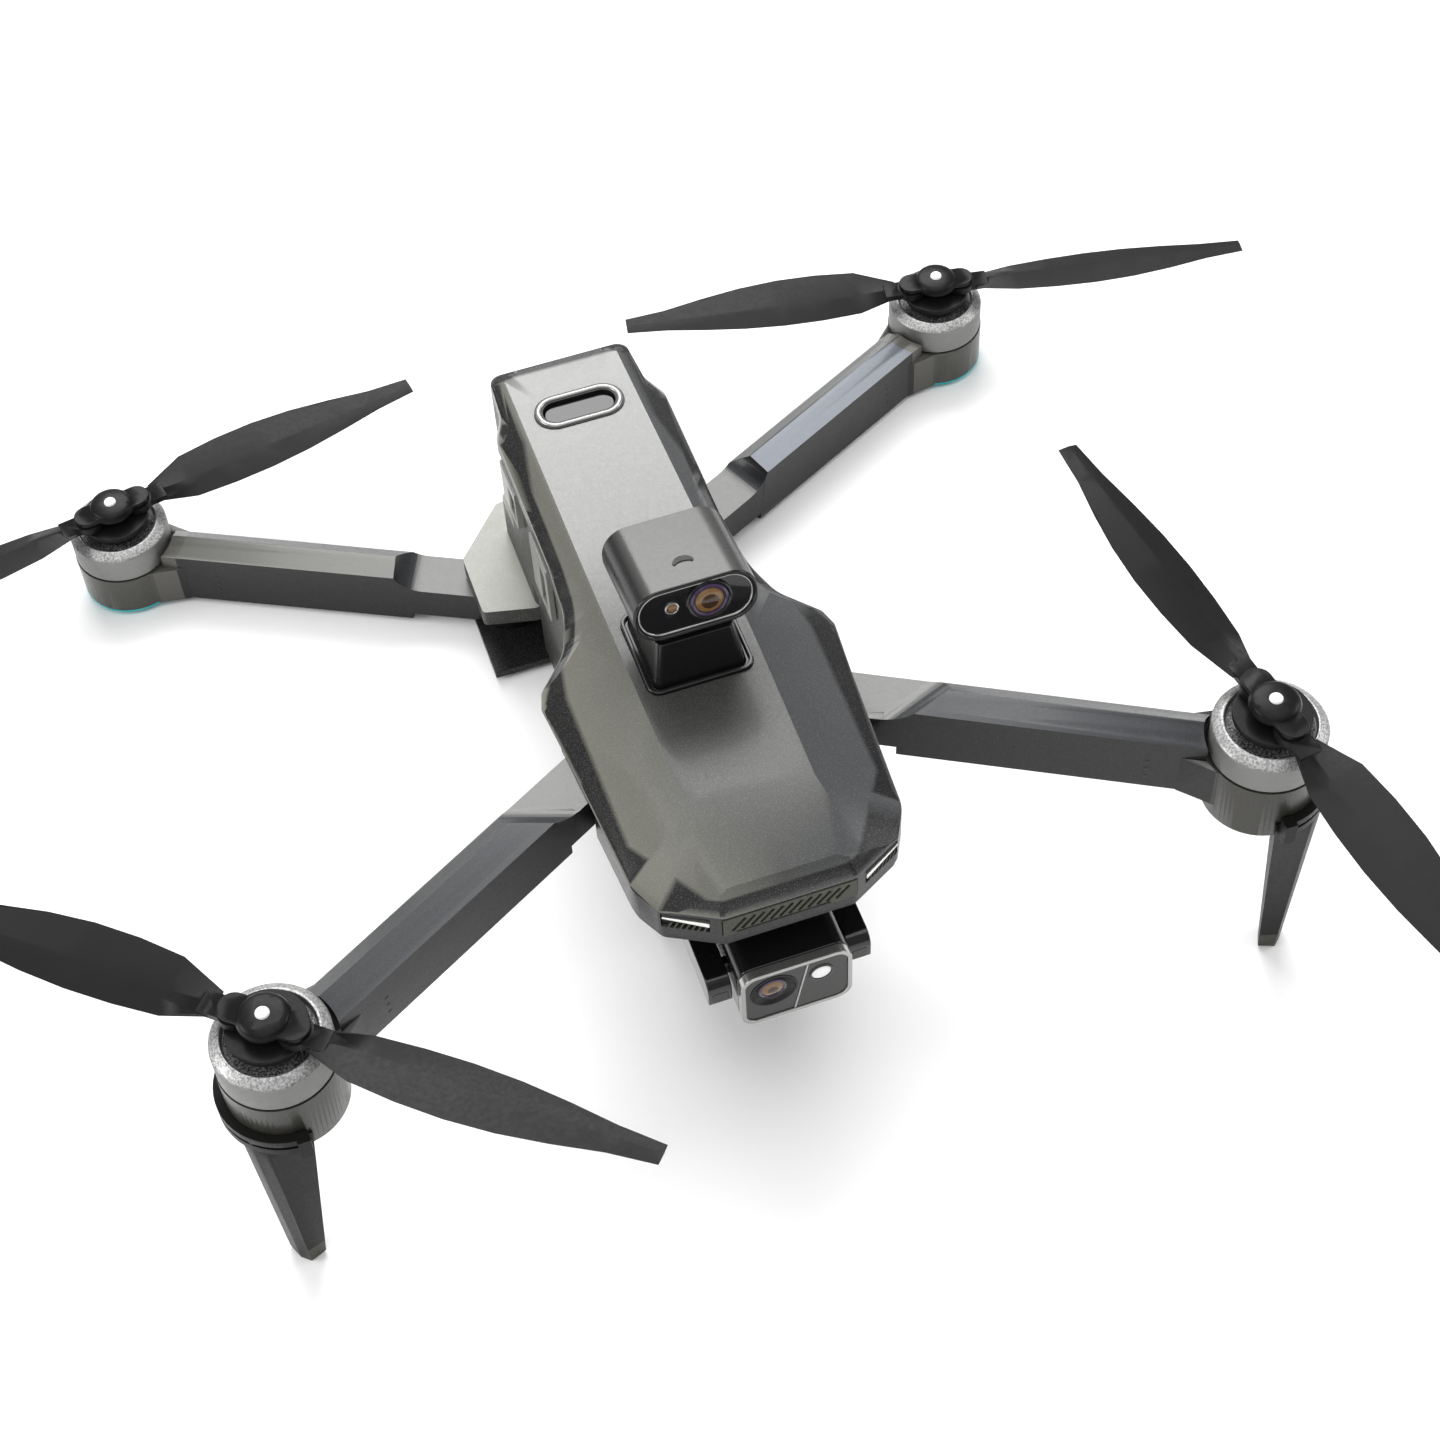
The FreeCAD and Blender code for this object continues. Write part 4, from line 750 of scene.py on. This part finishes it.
def dress_nose():
    """The slot in the grille, drawn as a dark slab of painted shade, and a bright strip over slanted
    hatching in each corner light.
    """
    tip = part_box("nose_grille")[0][1]
    middle = mid("nose_grille")
    face = face_frame((middle.x, tip, middle.z), (0, -1, 0))
    # Painted shade: a dark slab stands in for the shade inside the grille's slot.
    slab("nose_slot", rounded_rectangle(20.0, 0.5, 0.24, 4), -0.1, 0.15, moved(face, -1.5, -2.3),
         "dark_plain", "airframe")
    for name, side in SIDES.items():
        inner = Vector((side * LAMP_INNER[0] * MM, tip + LAMP_INNER[1] * MM, middle.z))
        outer = Vector((side * LAMP_OUTER[0] * MM, tip + LAMP_OUTER[1] * MM, middle.z))
        run = (outer - inner) if side > 0 else (inner - outer)
        ahead = run.normalized().cross(Vector((0, 0, 1)))
        where = face_frame((inner + outer) / 2, ahead)
        half = (outer - inner).length / MM / 2
        from_end, to_end = (STRIP_INNER, STRIP_OUTER) if side > 0 else (STRIP_OUTER, STRIP_INNER)
        strip = [(-half, from_end[0]), (half, to_end[0]), (half, to_end[1]), (-half, from_end[1])]
        slab(f"nose_strip_{name}", strip, -0.6, 0.35, where, "lamp_silver", "airframe", 0.08)
        for k in range(HATCHES):
            x = -half + HATCH_MARGIN + k * 2 * (half - HATCH_MARGIN) / (HATCHES - 1)
            hatch = [(x - 0.2, -1.9), (x + 0.1, -1.9), (x + 0.9, 0.1), (x + 0.6, 0.1)]
            slab(f"nose_hatch_{name}_{k}", hatch, -0.8, 0.1, where, "grille_grey", "airframe")


# The arms' directions in degrees; the vents' distance in from the motor's axis and their lowest
# height, in mm; and how far ahead of the arm's line the search for its front face starts.
ARM_ANGLE = {"front": -29.5, "rear": 27.6}
DOTS_INWARD = {"front": 23.6, "rear": 25.0}
DOTS_HEIGHT = {"front": 58.4, "rear": 5.3}
DOT_COUNT, DOT_STEP = 3, 2.5
SEARCH_FROM = 30


def arm_dots():
    """Three small dark vents in the front face of each arm, near the motor, drawn as dark discs of painted
    shade.
    """
    for end, degrees in ARM_ANGLE.items():
        angle = math.radians(degrees)
        for name, side in SIDES.items():
            motor = mid(f"bell_{end}_{name}")
            out = Vector((side * math.cos(angle), math.sin(angle), 0))
            front = Vector((side * math.sin(angle), -math.cos(angle), 0))
            mesh = NODES[f"arm_{end}_{name}"].data
            surface = BVHTree.FromPolygons([v.co for v in mesh.vertices],
                                           [list(p.vertices) for p in mesh.polygons])
            beyond = (Vector((motor.x, motor.y, 0)) - out * DOTS_INWARD[end] * MM
                      + front * SEARCH_FROM * MM)
            for k in range(DOT_COUNT):
                start = beyond + Vector((0, 0, (DOTS_HEIGHT[end] + DOT_STEP * k) * MM))
                spot, normal, _, _ = surface.ray_cast(start, -front)
                if spot is None:
                    raise RuntimeError(f"no face under the vents of arm_{end}_{name}")
                # Painted shade: each vent is a dark disc that stands in for the shade inside it.
                lathe(f"dot_{end}_{name}_{k}", [(0.55, -0.15), (0.55, 0.02), (0.45, 0.06), (0, 0.04)],
                      face_frame(spot, normal), "dark_plain", f"{end}_arm_{name}", 16)


make_camera()
make_floor()
make_lights()
dress_frame()
dress_hull()
dress_nose()
arm_dots()
dress_motors()
dress_turret()
dress_camera()
